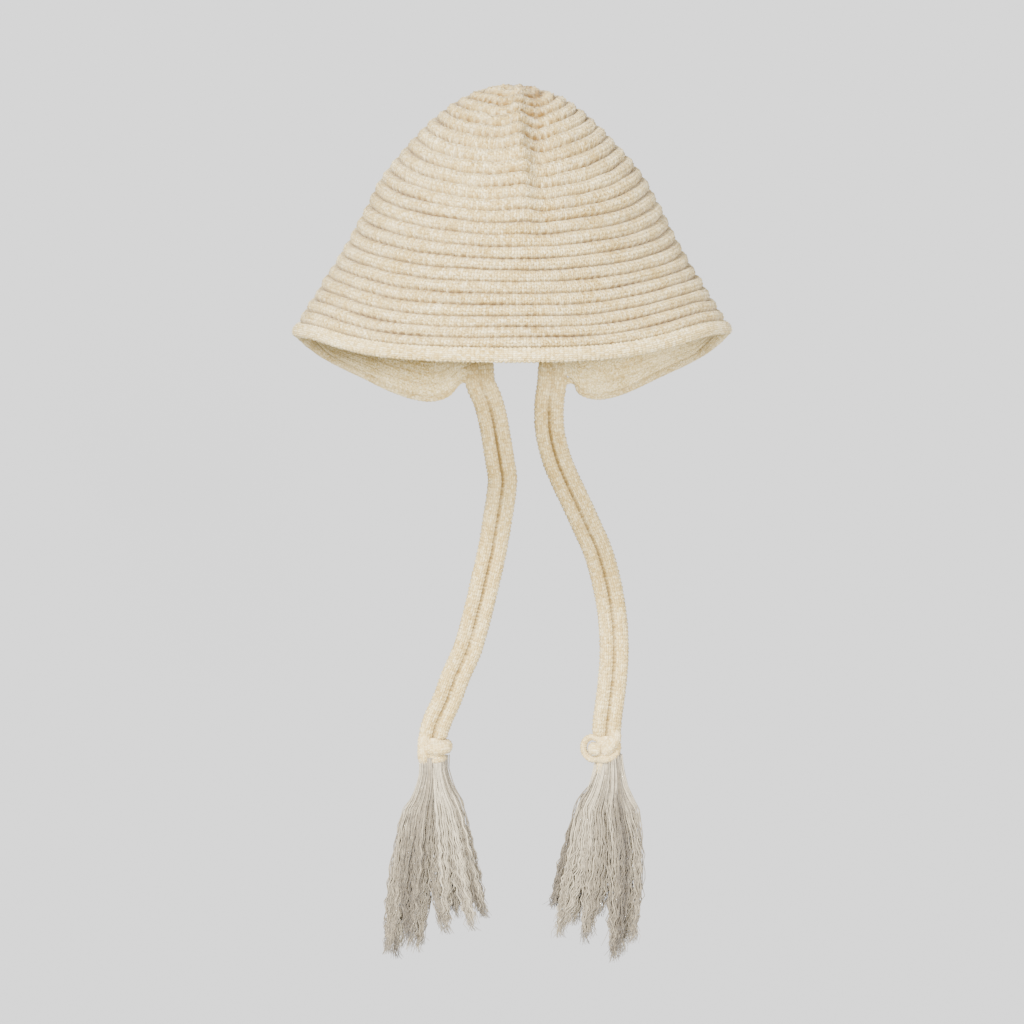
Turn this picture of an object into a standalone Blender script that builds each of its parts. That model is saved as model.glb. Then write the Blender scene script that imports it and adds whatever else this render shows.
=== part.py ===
# Knitted bonnet: a ribbed bell crown with two cheek flaps round a face opening.
# Rolled bands edge the rim and the face opening, and run on into two flat ribbed ties.
# Each tie ends in a knot and a tassel.
# Units are metres and +Z is up. The origin is the inside top of the crown, where it sits on a head.
# The nape side, with the plain rim, faces -Y, and the face opening faces +Y.
import math

import bmesh
import bpy
import numpy as np
from mathutils import Vector

# Crown
WALL = 0.0035                # knitted wall, in the grooves
COURSE_RELIEF = 0.0015       # a course stands this far out of the grooves beside it, inside and out
COURSES = 24                 # knitted courses from the top of the crown to the rim
CROWN_HALF_WIDTH = 0.1372    # crown's middle line to the rim, sideways
NAPE_REACH = 0.1170          # crown's middle line to the rim, on the nape side
FACE_REACH = 0.1200          # crown's middle line to the rim, on the face side
CROWN_HEIGHT = 0.1500        # top of the crown down to the rim band
COURSE_DIP = 0.0110          # how far the courses sag at the middle of the nape side
CREASE_OUT = 0.0034          # the crease at the top of the nape side stands out this far
CREASE_LIFT = 0.0040         # and carries its courses up this far
CREASE_TURN = math.radians(3.0)
CREASE_SPREAD = math.radians(11.0)

# Cheek flaps
FLAP_DROP = 0.0616           # rim to the lowest edge of a flap
SHORTER_FLAP = 0.975         # the flap on +X is this much of the other's drop
FLAP_COURSES = 8             # short courses in a flap, all ending at the side corner
SEAM_TURN = math.radians(1.4)      # the gap between the ties lies a little to +X
SEAM_SPREAD = math.radians(40.0)

# Face opening, measured on the wall, with the face band inside it
OPENING_TOP = 0.0920         # top of the crown down to the top of the opening
OPENING_WIDEST = 0.1420      # top of the crown down to the widest place
OPENING_HALF_WIDTH = 0.0655
THROAT_HALF_WIDTH = 0.0234   # between the flaps' inner corners
LEAD_ROWS = 8                # half courses above the opening in which the cloth is drawn aside

# Bands
RIM_BAND_HEIGHT = 0.0100
RIM_BAND_THICK = 0.0068
FACE_BAND_HEIGHT = 0.0080
FACE_BAND_THICK = 0.0076
BAND_SIDES = 8
BAND_END = 0.26              # how far the rim band reaches past the last column but one
GAP = 0.0004                 # between pieces that meet

# Ties
TIE_WIDTH = 0.0206
TIE_THICK = 0.0098
TIE_GROOVE = 0.0060          # thickness left between the two ribs
TIE_RINGS = 24
KNOT_WIDTH = 0.0240
KNOT_DEPTH = 0.0150
KNOT_HEIGHT = 0.0165
KNOT_STRAND = 0.0066
KNOT_SIDES = 12
KNOT_CORE = 0.92             # the knot inside its outer turn, as a share of its width
KNOT_LEAN = 0.30             # how far a knot's outer turn leans, in radians
LOOP_STRAND = 0.0042
LOOP_SIZE = 0.0150           # the right knot's loop, across
LOOP_IN = 1.50               # and how far it reaches into the knot, in strands

# Tassels
TASSEL_LENGTH = 0.1415
TASSEL_NECK = 0.0190         # width at the knot
TASSEL_NECK_DEPTH = 0.0130
LOCK_WIDTH = 0.0185          # a lock of yarn at its fullest
LOCK_SIDES = 6
LOCK_FLATNESS = 0.82         # a lock's depth as a share of its width
NECK_SHARE = 0.22            # neck, as a share of the tassel's length
NECK_SIDES = 10

# Half section of the bell, read as shares of the sizes above, from the top to the rim
# columns: share of the way down the cloth, sideways, front and back, drop
BELL = (
    (0.000, 0.000, 0.000, 0.000),
    (0.060, 0.093, 0.116, 0.005),
    (0.169, 0.251, 0.316, 0.059),
    (0.274, 0.385, 0.513, 0.143),
    (0.394, 0.511, 0.684, 0.269),
    (0.507, 0.616, 0.803, 0.395),
    (0.644, 0.720, 0.880, 0.565),
    (0.781, 0.822, 0.923, 0.736),
    (0.922, 0.934, 0.974, 0.908),
    (1.000, 1.000, 1.000, 1.000),
)

# How the nape side's courses sag and where its crease shows
# columns: share of the way down the cloth, share of the dip, share of the crease
NAPE_FORM = (
    (0.00, 0.00, 0.00),
    (0.10, 0.30, 0.30),
    (0.22, 0.75, 0.90),
    (0.38, 1.00, 0.80),
    (0.56, 0.84, 0.30),
    (0.70, 0.58, 0.00),
    (0.86, 0.24, 0.00),
    (1.00, -0.16, 0.00),
)

# Lower edge of a flap, one row for each of its columns of cloth
# columns: degrees from the opening before the cloth is drawn aside, share of the flap's drop
FLAP_EDGE = (
    (0, 0.815),
    (6.5, 0.812),
    (10.5, 0.940),
    (15.5, 1.000),
    (22, 0.955),
    (31, 0.825),
    (42, 0.630),
    (56, 0.420),
    (72, 0.190),
    (90, 0.000),
)
NAPE_COLUMNS = 14            # columns of cloth across the nape side

# Middle lines of the ties, chosen by hand: sideways and up, with the tops at the flaps' corners
LEFT_TIE = (
    (-0.0222, -0.1962), (-0.0215, -0.2050), (-0.0167, -0.2160), (-0.0130, -0.2299),
    (-0.0106, -0.2438), (-0.0082, -0.2591), (-0.0065, -0.2717), (-0.0079, -0.2857),
    (-0.0103, -0.3012), (-0.0138, -0.3223), (-0.0187, -0.3443), (-0.0235, -0.3649),
    (-0.0305, -0.3906), (-0.0390, -0.4107), (-0.0453, -0.4280), (-0.0523, -0.4439),
    (-0.0552, -0.4555),
)
RIGHT_TIE = (
    (0.0278, -0.1950), (0.0272, -0.2050), (0.0256, -0.2160), (0.0253, -0.2299),
    (0.0267, -0.2424), (0.0308, -0.2577), (0.0371, -0.2731), (0.0447, -0.2892),
    (0.0523, -0.3061), (0.0593, -0.3223), (0.0649, -0.3422), (0.0689, -0.3635),
    (0.0708, -0.3849), (0.0706, -0.4050), (0.0685, -0.4266), (0.0666, -0.4425),
    (0.0658, -0.4540),
)

# Locks of each tassel, as shares of the tassel's length and lock width
# columns: sideways reach of the tip, towards the face, length, fullness, bow
LEFT_LOCKS = (
    (-0.225, -0.030, 0.930, 0.90, -0.005),
    (-0.180, 0.040, 1.000, 0.95, -0.020),
    (-0.120, -0.060, 0.900, 1.05, -0.010),
    (-0.085, 0.050, 0.985, 0.95, 0.010),
    (0.050, -0.050, 0.830, 1.05, -0.010),
    (0.105, 0.045, 0.780, 1.00, 0.000),
    (0.190, -0.030, 0.810, 0.95, -0.020),
    (0.255, 0.025, 0.790, 0.80, -0.030),
)
RIGHT_LOCKS = (
    (-0.268, 0.022, 0.770, 0.87, 0.031),
    (-0.228, -0.031, 0.860, 0.97, 0.026),
    (-0.158, 0.042, 0.830, 1.02, 0.012),
    (-0.101, -0.047, 0.910, 1.08, 0.003),
    (-0.034, 0.020, 0.780, 1.22, 0.006),
    (0.043, -0.040, 0.965, 0.98, 0.016),
    (0.088, 0.038, 0.955, 0.92, 0.022),
    (0.128, -0.005, 0.900, 0.83, 0.018),
)

# Swelling of a lock from root to tip, of a knot and of a tassel's neck from top to bottom
# columns: share of the way along, share of the width
LOCK_FORM = (
    (0.00, 0.40),
    (0.16, 0.74),
    (0.42, 1.00),
    (0.68, 0.96),
    (0.88, 0.74),
    (1.00, 0.28),
)
KNOT_FORM = (
    (0.00, 0.42),
    (0.08, 0.72),
    (0.28, 0.95),
    (0.50, 1.00),
    (0.72, 0.95),
    (0.92, 0.72),
    (1.00, 0.42),
)
NECK_FORM = (
    (0.00, 1.00),
    (0.35, 0.98),
    (0.70, 1.15),
    (1.00, 1.32),
)

YARN_COLOUR = (0.906, 0.859, 0.761)
TASSEL_COLOUR = (0.776, 0.741, 0.690)


def clearScene():
    for piece in list(bpy.data.objects):
        bpy.data.objects.remove(piece, do_unlink=True)


def newCollection(name, parent=None):
    group = bpy.data.collections.new(name)
    (parent or bpy.context.scene.collection).children.link(group)
    return group


def linearColour(colour):
    return [c / 12.92 if c <= 0.04045 else ((c + 0.055) / 1.055) ** 2.4 for c in colour]


def yarnMaterial(name, colour, roughness):
    material = bpy.data.materials.new(name)
    material.use_nodes = True
    shader = material.node_tree.nodes["Principled BSDF"]
    shader.inputs["Base Color"].default_value = (*linearColour(colour), 1.0)
    shader.inputs["Roughness"].default_value = roughness
    shader.inputs["Metallic"].default_value = 0.0
    return material


def smoothRead(table, column, share):
    # reads one column of a table along a smooth curve through its rows
    keys = [row[0] for row in table]
    values = [row[column] for row in table]
    share = min(max(share, keys[0]), keys[-1])
    i = max(j for j in range(len(keys) - 1) if keys[j] <= share)
    step = keys[i + 1] - keys[i]

    def slope(k):
        a = max(k - 1, 0)
        b = min(k + 1, len(keys) - 1)
        return (values[b] - values[a]) / (keys[b] - keys[a])

    t = (share - keys[i]) / step
    ahead = values[i + 1]
    return (
        values[i] * (2 * t**3 - 3 * t**2 + 1)
        + slope(i) * step * (t**3 - 2 * t**2 + t)
        + ahead * (3 * t**2 - 2 * t**3)
        + slope(i + 1) * step * (t**3 - t**2)
    )


def smoothRoute(points, count):
    # even steps along a smooth curve through the points
    points = [Vector(p) for p in points]
    ends = [points[0] * 2 - points[1], *points, points[-1] * 2 - points[-2]]
    fine = []
    for a, b, c, d in zip(ends, ends[1:], ends[2:], ends[3:]):
        for k in range(12):
            t = k / 12
            fine.append(
                0.5 * (b * 2 + (c - a) * t + (a * 2 - b * 5 + c * 4 - d) * t**2 + (b * 3 - a - c * 3 + d) * t**3)
            )
    fine.append(points[-1])
    run = np.cumsum([0.0] + [(q - p).length for p, q in zip(fine, fine[1:])])
    wanted = np.linspace(0.0, run[-1], count)
    return [Vector([np.interp(w, run, [p[axis] for p in fine]) for axis in range(3)]) for w in wanted]


def meshObject(name, points, faces, group, material):
    mesh = bpy.data.meshes.new(name)
    mesh.from_pydata([tuple(p) for p in points], [], faces)
    mesh.update()
    mesh.materials.append(material)
    mesh.shade_smooth()
    piece = bpy.data.objects.new(name, mesh)
    group.objects.link(piece)
    return piece


def faceOut(piece):
    form = bmesh.new()
    form.from_mesh(piece.data)
    bmesh.ops.recalc_face_normals(form, faces=form.faces)
    form.to_mesh(piece.data)
    form.free()


def sweep(name, rings, group, material):
    # a closed body through rings of points, flat at both ends
    sides = len(rings[0])
    points = [p for ring in rings for p in ring]
    faces = []
    for i in range(len(rings) - 1):
        for k in range(sides):
            n = (k + 1) % sides
            faces.append((i * sides + k, i * sides + n, (i + 1) * sides + n, (i + 1) * sides + k))
    faces.append(tuple(range(sides)))
    faces.append(tuple(len(points) - sides + k for k in range(sides)))
    piece = meshObject(name, points, faces, group, material)
    faceOut(piece)
    return piece


def oval(sides, across, along):
    return [
        (math.cos(math.tau * (k + 0.5) / sides) * across / 2, math.sin(math.tau * (k + 0.5) / sides) * along / 2)
        for k in range(sides)
    ]


def napeShare(angle):
    return max(0.0, -math.cos(angle))


def creaseShare(angle):
    return max(0.0, 1.0 - abs(angle - math.pi) / CREASE_SPREAD)


def bellPoint(share, angle):
    # the crests' surface: share runs down the cloth, angle turns from +Y towards +X
    width = smoothRead(BELL, 1, share) * CROWN_HALF_WIDTH
    reach = smoothRead(BELL, 2, share) * (FACE_REACH if math.cos(angle) > 0 else NAPE_REACH)
    drop = smoothRead(BELL, 3, share) * CROWN_HEIGHT
    drop += smoothRead(NAPE_FORM, 1, share) * COURSE_DIP * napeShare(angle) ** 2
    crease = smoothRead(NAPE_FORM, 2, share) * creaseShare(angle)
    turned = angle - CREASE_TURN * max(0.0, 1.0 - abs(angle - math.pi) / (3 * CREASE_SPREAD))
    turned += SEAM_TURN * max(0.0, 1.0 - min(angle, math.tau - angle) / SEAM_SPREAD)
    return Vector(
        (
            width * math.sin(turned),
            reach * math.cos(turned) - crease * CREASE_OUT,
            WALL + COURSE_RELIEF - drop + crease * CREASE_LIFT,
        )
    )


def bellNormal(share, angle):
    step = 0.004
    low = min(share, 1.0 - step)
    down = bellPoint(low + step, angle) - bellPoint(low, angle)
    around = bellPoint(low + step, angle + step) - bellPoint(low + step, angle - step)
    return around.cross(down).normalized()


def rowDrop(row):
    return smoothRead(BELL, 3, row / (2 * COURSES)) * CROWN_HEIGHT


def openingTop():
    # the opening starts at the half course nearest to its named top
    return min((rowDrop(row) for row in range(2 * COURSES)), key=lambda drop: abs(drop - OPENING_TOP))


def openingHalfWidth(drop):
    top = openingTop()
    if drop <= top:
        return 0.0
    if drop < OPENING_WIDEST:
        rise = (OPENING_WIDEST - drop) / (OPENING_WIDEST - top)
        return OPENING_HALF_WIDTH * math.sqrt(1.0 - rise**2)
    throat = CROWN_HEIGHT + FLAP_EDGE[0][1] * FLAP_DROP
    fall = min((drop - OPENING_WIDEST) / (throat - OPENING_WIDEST), 1.0)
    half = 0.5 + 0.5 * math.cos(math.pi * fall)
    return THROAT_HALF_WIDTH + (OPENING_HALF_WIDTH - THROAT_HALF_WIDTH) * half


def columnTurns():
    # base angles of the columns of cloth, all the way round from the opening and back to it
    near = [math.radians(row[0]) for row in FLAP_EDGE]
    nape = [math.pi / 2 + math.pi * k / NAPE_COLUMNS for k in range(1, NAPE_COLUMNS)]
    return near + nape + [math.tau - turn for turn in reversed(near)]


def drawnAside(turn, edge):
    # the columns beside the opening are drawn aside by its edge
    if turn <= math.pi / 2:
        return edge + turn * (1.0 - edge / (math.pi / 2))
    if turn >= math.pi * 1.5:
        return math.tau - drawnAside(math.tau - turn, edge)
    return turn


def edgeAngle(share, drop):
    width = smoothRead(BELL, 1, share) * CROWN_HALF_WIDTH
    return math.asin(openingHalfWidth(drop) / width) if drop > openingTop() else 0.0


def flapShare(turn):
    aside = min(turn, math.tau - turn)
    rows = [(math.radians(row[0]), row[1]) for row in FLAP_EDGE]
    share = float(np.interp(aside, [r[0] for r in rows], [r[1] for r in rows]))
    return share * (SHORTER_FLAP if turn < math.pi else 1.0)


def flapPoint(turn, level):
    # level runs from the rim, 0, to the flap's lower edge, 1
    throatDrop = CROWN_HEIGHT + FLAP_EDGE[0][1] * FLAP_DROP * level
    angle = drawnAside(turn, edgeAngle(1.0, throatDrop))
    return bellPoint(1.0, angle) - Vector((0, 0, flapShare(turn) * FLAP_DROP * level)), angle


def makeCrown(group, material):
    turns = columnTurns()
    last = len(turns) - 1
    rows = 2 * COURSES
    shortRows = 2 * FLAP_COURSES
    flapColumns = len(FLAP_EDGE)
    points = [Vector((0, 0, WALL))]
    index = {}
    smooth = {}
    crests = {}
    edges = [edgeAngle(i / rows, rowDrop(i)) for i in range(1, rows + 1)]
    first = min(i for i, edge in enumerate(edges, 1) if edge)
    for i, edge in enumerate(edges, 1):
        share = i / rows
        lead = edge or edges[first - 1] * max(0.0, 1.0 - (first - i) / LEAD_ROWS)
        for j, turn in enumerate(turns):
            if j == last and edge == 0.0:
                index[i, j] = index[i, 0]
                smooth[i, j] = smooth[i, 0]
                continue
            angle = 0.0 if j == 0 and edge == 0.0 else drawnAside(turn, lead)
            normal = bellNormal(share, angle)
            place = bellPoint(share, angle) - normal * COURSE_RELIEF
            smooth[i, j] = (place, normal)
            index[i, j] = len(points)
            points.append(place)
            if i % 2 and not (i >= first - 1 and j in (0, last)):
                crests[index[i, j]] = 1.0
    for i in range(rows + 1, rows + shortRows + 1):
        level = (i - rows) / shortRows
        for j, turn in enumerate(turns):
            if flapColumns - 1 <= j <= last - flapColumns + 1:
                index[i, j] = index[rows, j]
                smooth[i, j] = smooth[rows, j]
                continue
            place, angle = flapPoint(turn, level)
            upright = bellNormal(1.0, angle) * Vector((1, 1, 0))
            normal = (bellNormal(1.0, angle) * (1 - level) + upright.normalized() * level).normalized()
            place -= normal * COURSE_RELIEF
            smooth[i, j] = (place, normal)
            index[i, j] = len(points)
            points.append(place)
            if i % 2 and j not in (0, last):
                crests[index[i, j]] = flapShare(turn) ** 0.5
    faces = [(0, index[1, j], index[1, j + 1]) for j in range(last)]
    for i in range(1, rows + shortRows):
        for j in range(last):
            corners = (index[i, j], index[i + 1, j], index[i + 1, j + 1], index[i, j + 1])
            face = tuple(dict.fromkeys(corners))
            if len(face) > 2:
                faces.append(face)
    crown = meshObject("crown", points, faces, group, material)
    faceOut(crown)
    wall = crown.modifiers.new("wall", "SOLIDIFY")
    wall.thickness = WALL
    wall.offset = -1.0
    raised = crown.vertex_groups.new(name="crests")
    for number, weight in crests.items():
        raised.add([number], weight, "REPLACE")
    courses = crown.modifiers.new("courses", "DISPLACE")
    courses.vertex_group = "crests"
    courses.mid_level = 0.0
    courses.strength = COURSE_RELIEF
    return smooth, rows, shortRows, last


def bandRings(edge, offset, height, thick, sign):
    # rings of a band whose middle line lies beside an edge of the wall, along the cloth
    rings = []
    outline = oval(BAND_SIDES, thick, height)
    for k, (place, normal) in enumerate(edge):
        before = (edge[k][0] - edge[k - 1][0]).normalized() if k else None
        after = (edge[k + 1][0] - edge[k][0]).normalized() if k < len(edge) - 1 else None
        before = before or after
        after = after or before
        along = (before + after).normalized()
        away = along.cross(normal).normalized() * sign
        miter = 1.0 / max(along.dot(after), 0.6)
        centre = place - normal * WALL / 2 + away * offset * miter
        rings.append([centre + normal * a + away * b * miter for a, b in outline])
    return rings


def makeBands(cloth, group, material):
    smooth, rows, shortRows, last = cloth
    bottom = rows + shortRows
    lower = [smooth[bottom, j] for j in range(2, last - 1)]

    def part(a, b, share):
        return (a[0].lerp(b[0], share), a[1].lerp(b[1], share).normalized())

    lower.insert(0, part(smooth[bottom, 2], smooth[bottom, 1], BAND_END))
    lower.append(part(smooth[bottom, last - 2], smooth[bottom, last - 1], BAND_END))
    offset = RIM_BAND_HEIGHT / 2 + GAP
    sweep("rim_band", bandRings(lower, offset, RIM_BAND_HEIGHT, RIM_BAND_THICK, -1), group, material)

    top = max(i for i in range(1, rows) if smooth[i, 0] == smooth[i, last])
    beside = [*range(top + 1, top + 4), *range(top + 4 + (bottom - top) % 2, bottom + 1, 2)]
    right = [smooth[i, 0] for i in beside]
    left = [smooth[i, last] for i in beside]
    around = [*reversed(right), smooth[top, 0], *left]
    offset = FACE_BAND_HEIGHT / 2 + GAP
    sweep("face_band", bandRings(around, offset, FACE_BAND_HEIGHT, FACE_BAND_THICK, 1), group, material)


def tieOutline():
    # two ribs side by side with a groove between them
    rib = TIE_THICK / 2
    centre = TIE_WIDTH / 2 - rib
    lobe = [math.radians(a) for a in (-105, -55, 0, 55, 105)]
    right = [(centre + rib * math.cos(a), rib * math.sin(a)) for a in lobe]
    left = [(-x, -y) for x, y in right]
    return [*right, (0.0, TIE_GROOVE / 2), *left, (0.0, -TIE_GROOVE / 2)]


def tieRings(route, depth):
    centres = smoothRoute([(x, depth, z) for x, z in route], TIE_RINGS)
    outline = tieOutline()
    face = Vector((0, -1, 0))
    rings = []
    for k, centre in enumerate(centres):
        ahead = centres[min(k + 1, TIE_RINGS - 1)] - centres[max(k - 1, 0)]
        if k in (0, TIE_RINGS - 1):
            ahead = Vector((0, 0, -1))
        side = face.cross(ahead).normalized()
        rings.append([centre + side * a + face * b for a, b in outline])
    return rings


def unite(piece, others):
    join = piece.modifiers.new(others.name, "BOOLEAN")
    join.operation = "UNION"
    join.solver = "EXACT"
    join.operand_type = "COLLECTION"
    join.collection = others


def guide(piece):
    piece.hide_render = True
    piece.display_type = "WIRE"
    return piece


def ringStrand(name, centre, across, strand, tilt, guides, material):
    # a turn of yarn, as a ring whose axis is tipped
    bpy.ops.mesh.primitive_torus_add(
        major_segments=14, minor_segments=6, major_radius=(across - strand) / 2, minor_radius=strand / 2
    )
    ring = bpy.context.object
    ring.name = name
    ring.location = centre
    ring.rotation_euler = tilt
    ring.data.materials.append(material)
    for group in list(ring.users_collection):
        group.objects.unlink(ring)
    guides.objects.link(ring)
    return guide(ring)


def makeKnot(side, route, depth, group, guides, material):
    x, z = route[-1]
    centre = Vector((x, depth, z - GAP - KNOT_HEIGHT / 2))
    rings = []
    for level, fullness in KNOT_FORM:
        rings.append(
            [
                centre + Vector((px * fullness, py * fullness, (0.5 - level) * KNOT_HEIGHT))
                for px, py in oval(KNOT_SIDES, KNOT_WIDTH * KNOT_CORE, KNOT_DEPTH * KNOT_CORE)
            ]
        )
    knot = sweep(f"knot_{side}", rings, group, material)
    lean = KNOT_LEAN if side == "left" else -KNOT_LEAN
    turns = newCollection(f"{side} knot turns", guides)
    turn = ringStrand(f"{side}_turn", centre, KNOT_WIDTH, KNOT_STRAND, (0.12, lean, 0), turns, material)
    turn.scale = (1.0, KNOT_DEPTH / KNOT_WIDTH, 1.0)
    if side == "right":
        beside = centre + Vector((-(KNOT_WIDTH + LOOP_SIZE) / 2 + LOOP_IN * KNOT_STRAND, 0, 0))
        ringStrand("right_loop", beside, LOOP_SIZE, LOOP_STRAND, (math.pi / 2, 0, 0), turns, material)
    unite(knot, turns)
    return centre - Vector((0, 0, KNOT_HEIGHT / 2 + GAP))


def makeTassel(side, top, locks, group, guides, material):
    # the neck comes out of the knot and opens into locks that are fused to it
    neckLength = NECK_SHARE * TASSEL_LENGTH
    neck = []
    for level, spread in NECK_FORM:
        ring = oval(NECK_SIDES, TASSEL_NECK * spread, TASSEL_NECK_DEPTH * spread)
        neck.append([top + Vector((px, py, -neckLength * level)) for px, py in ring])
    head = sweep(f"tassel_{side}", neck, group, material)
    bundle = newCollection(f"{side} locks", guides)
    for k, (reach, depth, length, fullness, bow) in enumerate(locks):
        start = neckLength * (0.30 + 0.05 * k)
        root = top + Vector((reach * 0.10 * TASSEL_LENGTH, depth * 0.18 * TASSEL_LENGTH, -start))
        tip = top + Vector((reach, depth, -length)) * TASSEL_LENGTH
        rings = []
        for step, swell in LOCK_FORM:
            spread = step**0.72
            centre = Vector(
                (
                    root.x + (tip.x - root.x) * spread + bow * TASSEL_LENGTH * math.sin(math.pi * step),
                    root.y + (tip.y - root.y) * spread,
                    root.z + (tip.z - root.z) * step,
                )
            )
            size = LOCK_WIDTH * fullness * swell
            turned = 0.35 * k + 0.5 * step
            ring = []
            for px, py in oval(LOCK_SIDES, size, size * LOCK_FLATNESS):
                ring.append(
                    centre
                    + Vector(
                        (
                            px * math.cos(turned) - py * math.sin(turned),
                            px * math.sin(turned) + py * math.cos(turned),
                            0,
                        )
                    )
                )
            rings.append(ring)
        guide(sweep(f"{side}_lock_{k + 1}", rings, bundle, material))
    unite(head, bundle)


def build():
    clearScene()
    group = newCollection("knitted bonnet")
    guides = newCollection("guides")
    yarn = yarnMaterial("knitted cotton", YARN_COLOUR, 0.92)
    strands = yarnMaterial("tassel yarn", TASSEL_COLOUR, 0.90)
    cloth = makeCrown(group, yarn)
    makeBands(cloth, group, yarn)
    corner = flapPoint(0.0, 1.0)[0]
    depth = corner.y - COURSE_RELIEF - WALL / 2
    for side, route, locks in (("left", LEFT_TIE, LEFT_LOCKS), ("right", RIGHT_TIE, RIGHT_LOCKS)):
        sweep(f"tie_{side}", tieRings(route, depth), group, yarn)
        end = makeKnot(side, route, depth, group, guides, yarn)
        makeTassel(side, end, locks, group, guides, strands)


build()
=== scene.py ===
import math

import bpy
import numpy as np
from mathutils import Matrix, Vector


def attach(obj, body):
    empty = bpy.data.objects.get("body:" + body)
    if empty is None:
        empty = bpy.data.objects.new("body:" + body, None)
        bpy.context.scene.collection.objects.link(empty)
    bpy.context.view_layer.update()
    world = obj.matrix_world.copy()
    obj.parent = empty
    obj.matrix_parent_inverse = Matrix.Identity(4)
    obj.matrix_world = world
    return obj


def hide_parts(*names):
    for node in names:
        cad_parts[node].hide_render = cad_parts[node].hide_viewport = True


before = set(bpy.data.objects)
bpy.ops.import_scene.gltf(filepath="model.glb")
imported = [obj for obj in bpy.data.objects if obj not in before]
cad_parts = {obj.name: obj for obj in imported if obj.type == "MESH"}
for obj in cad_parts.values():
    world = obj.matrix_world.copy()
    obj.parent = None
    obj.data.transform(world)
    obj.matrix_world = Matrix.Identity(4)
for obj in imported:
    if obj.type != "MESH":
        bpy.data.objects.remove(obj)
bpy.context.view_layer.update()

# Knitted bonnet, seen from a little above its nape. -Y is the nape side and +Y the face side.
# The cloth is knitted in rolls: every course stands out as a round welt, and each welt is three rows of stitches.

stitch = {
    "legWidth": 0.00172,      # one leg of a V, across
    "rowHeight": 0.0028,      # one row of stitches
    "legDepth": 0.00085,      # how far a leg stands out of the gaps beside it
    "slant": 0.40,            # how far a leg leans, in leg widths
    "jitter": 0.00014,        # unevenness of handwork
    "dots": 3.2,              # legs from one dark dot to the next in a groove
    "rowsPerCourse": 3,
}
dice = np.random.default_rng(7)


# Colour and nodes

def toLinear(code):
    parts = [int(code[i:i + 2], 16) / 255 for i in (1, 3, 5)]
    return tuple(p / 12.92 if p <= 0.04045 else ((p + 0.055) / 1.055) ** 2.4 for p in parts) + (1.0,)


def addNode(tree, kind, links=None, **settings):
    # adds a node; links maps a socket to a value or to (node, output)
    node = tree.nodes.new(kind)
    for key, value in settings.items():
        setattr(node, key, value)
    for socket, value in (links or {}).items():
        if isinstance(value, tuple) and isinstance(value[0], bpy.types.Node):
            tree.links.new(value[0].outputs[value[1]], node.inputs[socket])
        else:
            node.inputs[socket].default_value = value
    return node


def rampStops(node, stops):
    ramp = node.color_ramp
    while len(ramp.elements) < len(stops):
        ramp.elements.new(0.5)
    for element, (place, code) in zip(ramp.elements, stops):
        element.position = place
        element.color = toLinear(code)
    return node


def startMaterial(name):
    material = bpy.data.materials.new(name)
    material.use_nodes = True
    tree = material.node_tree
    return material, tree, tree.nodes["Principled BSDF"]


cottonLook = {
    "crest": "#D9BC72",       # undyed cream cotton in the light
    "light": "#FCEFC0",
    "shade": "#A58C4A",
    "groove": "#6A4C12",      # painted shade: cream yarn darkened as if in shadow, between welts, between legs, beside the fold and round the top
    "grainScale": 820.0,
    "roughness": 0.90,
    "sheen": 0.12,
    "sheenRoughness": 0.55,
}


def finishCloth(tree, shader, look, colour, bump):
    tree.links.new(colour, shader.inputs["Base Color"])
    tree.links.new(bump.outputs["Normal"], shader.inputs["Normal"])
    for socket, value in (
        ("Roughness", look["roughness"]), ("IOR", 1.45),
        ("Sheen Weight", look["sheen"]), ("Sheen Roughness", look["sheenRoughness"]),
    ):
        shader.inputs[socket].default_value = value


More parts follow.
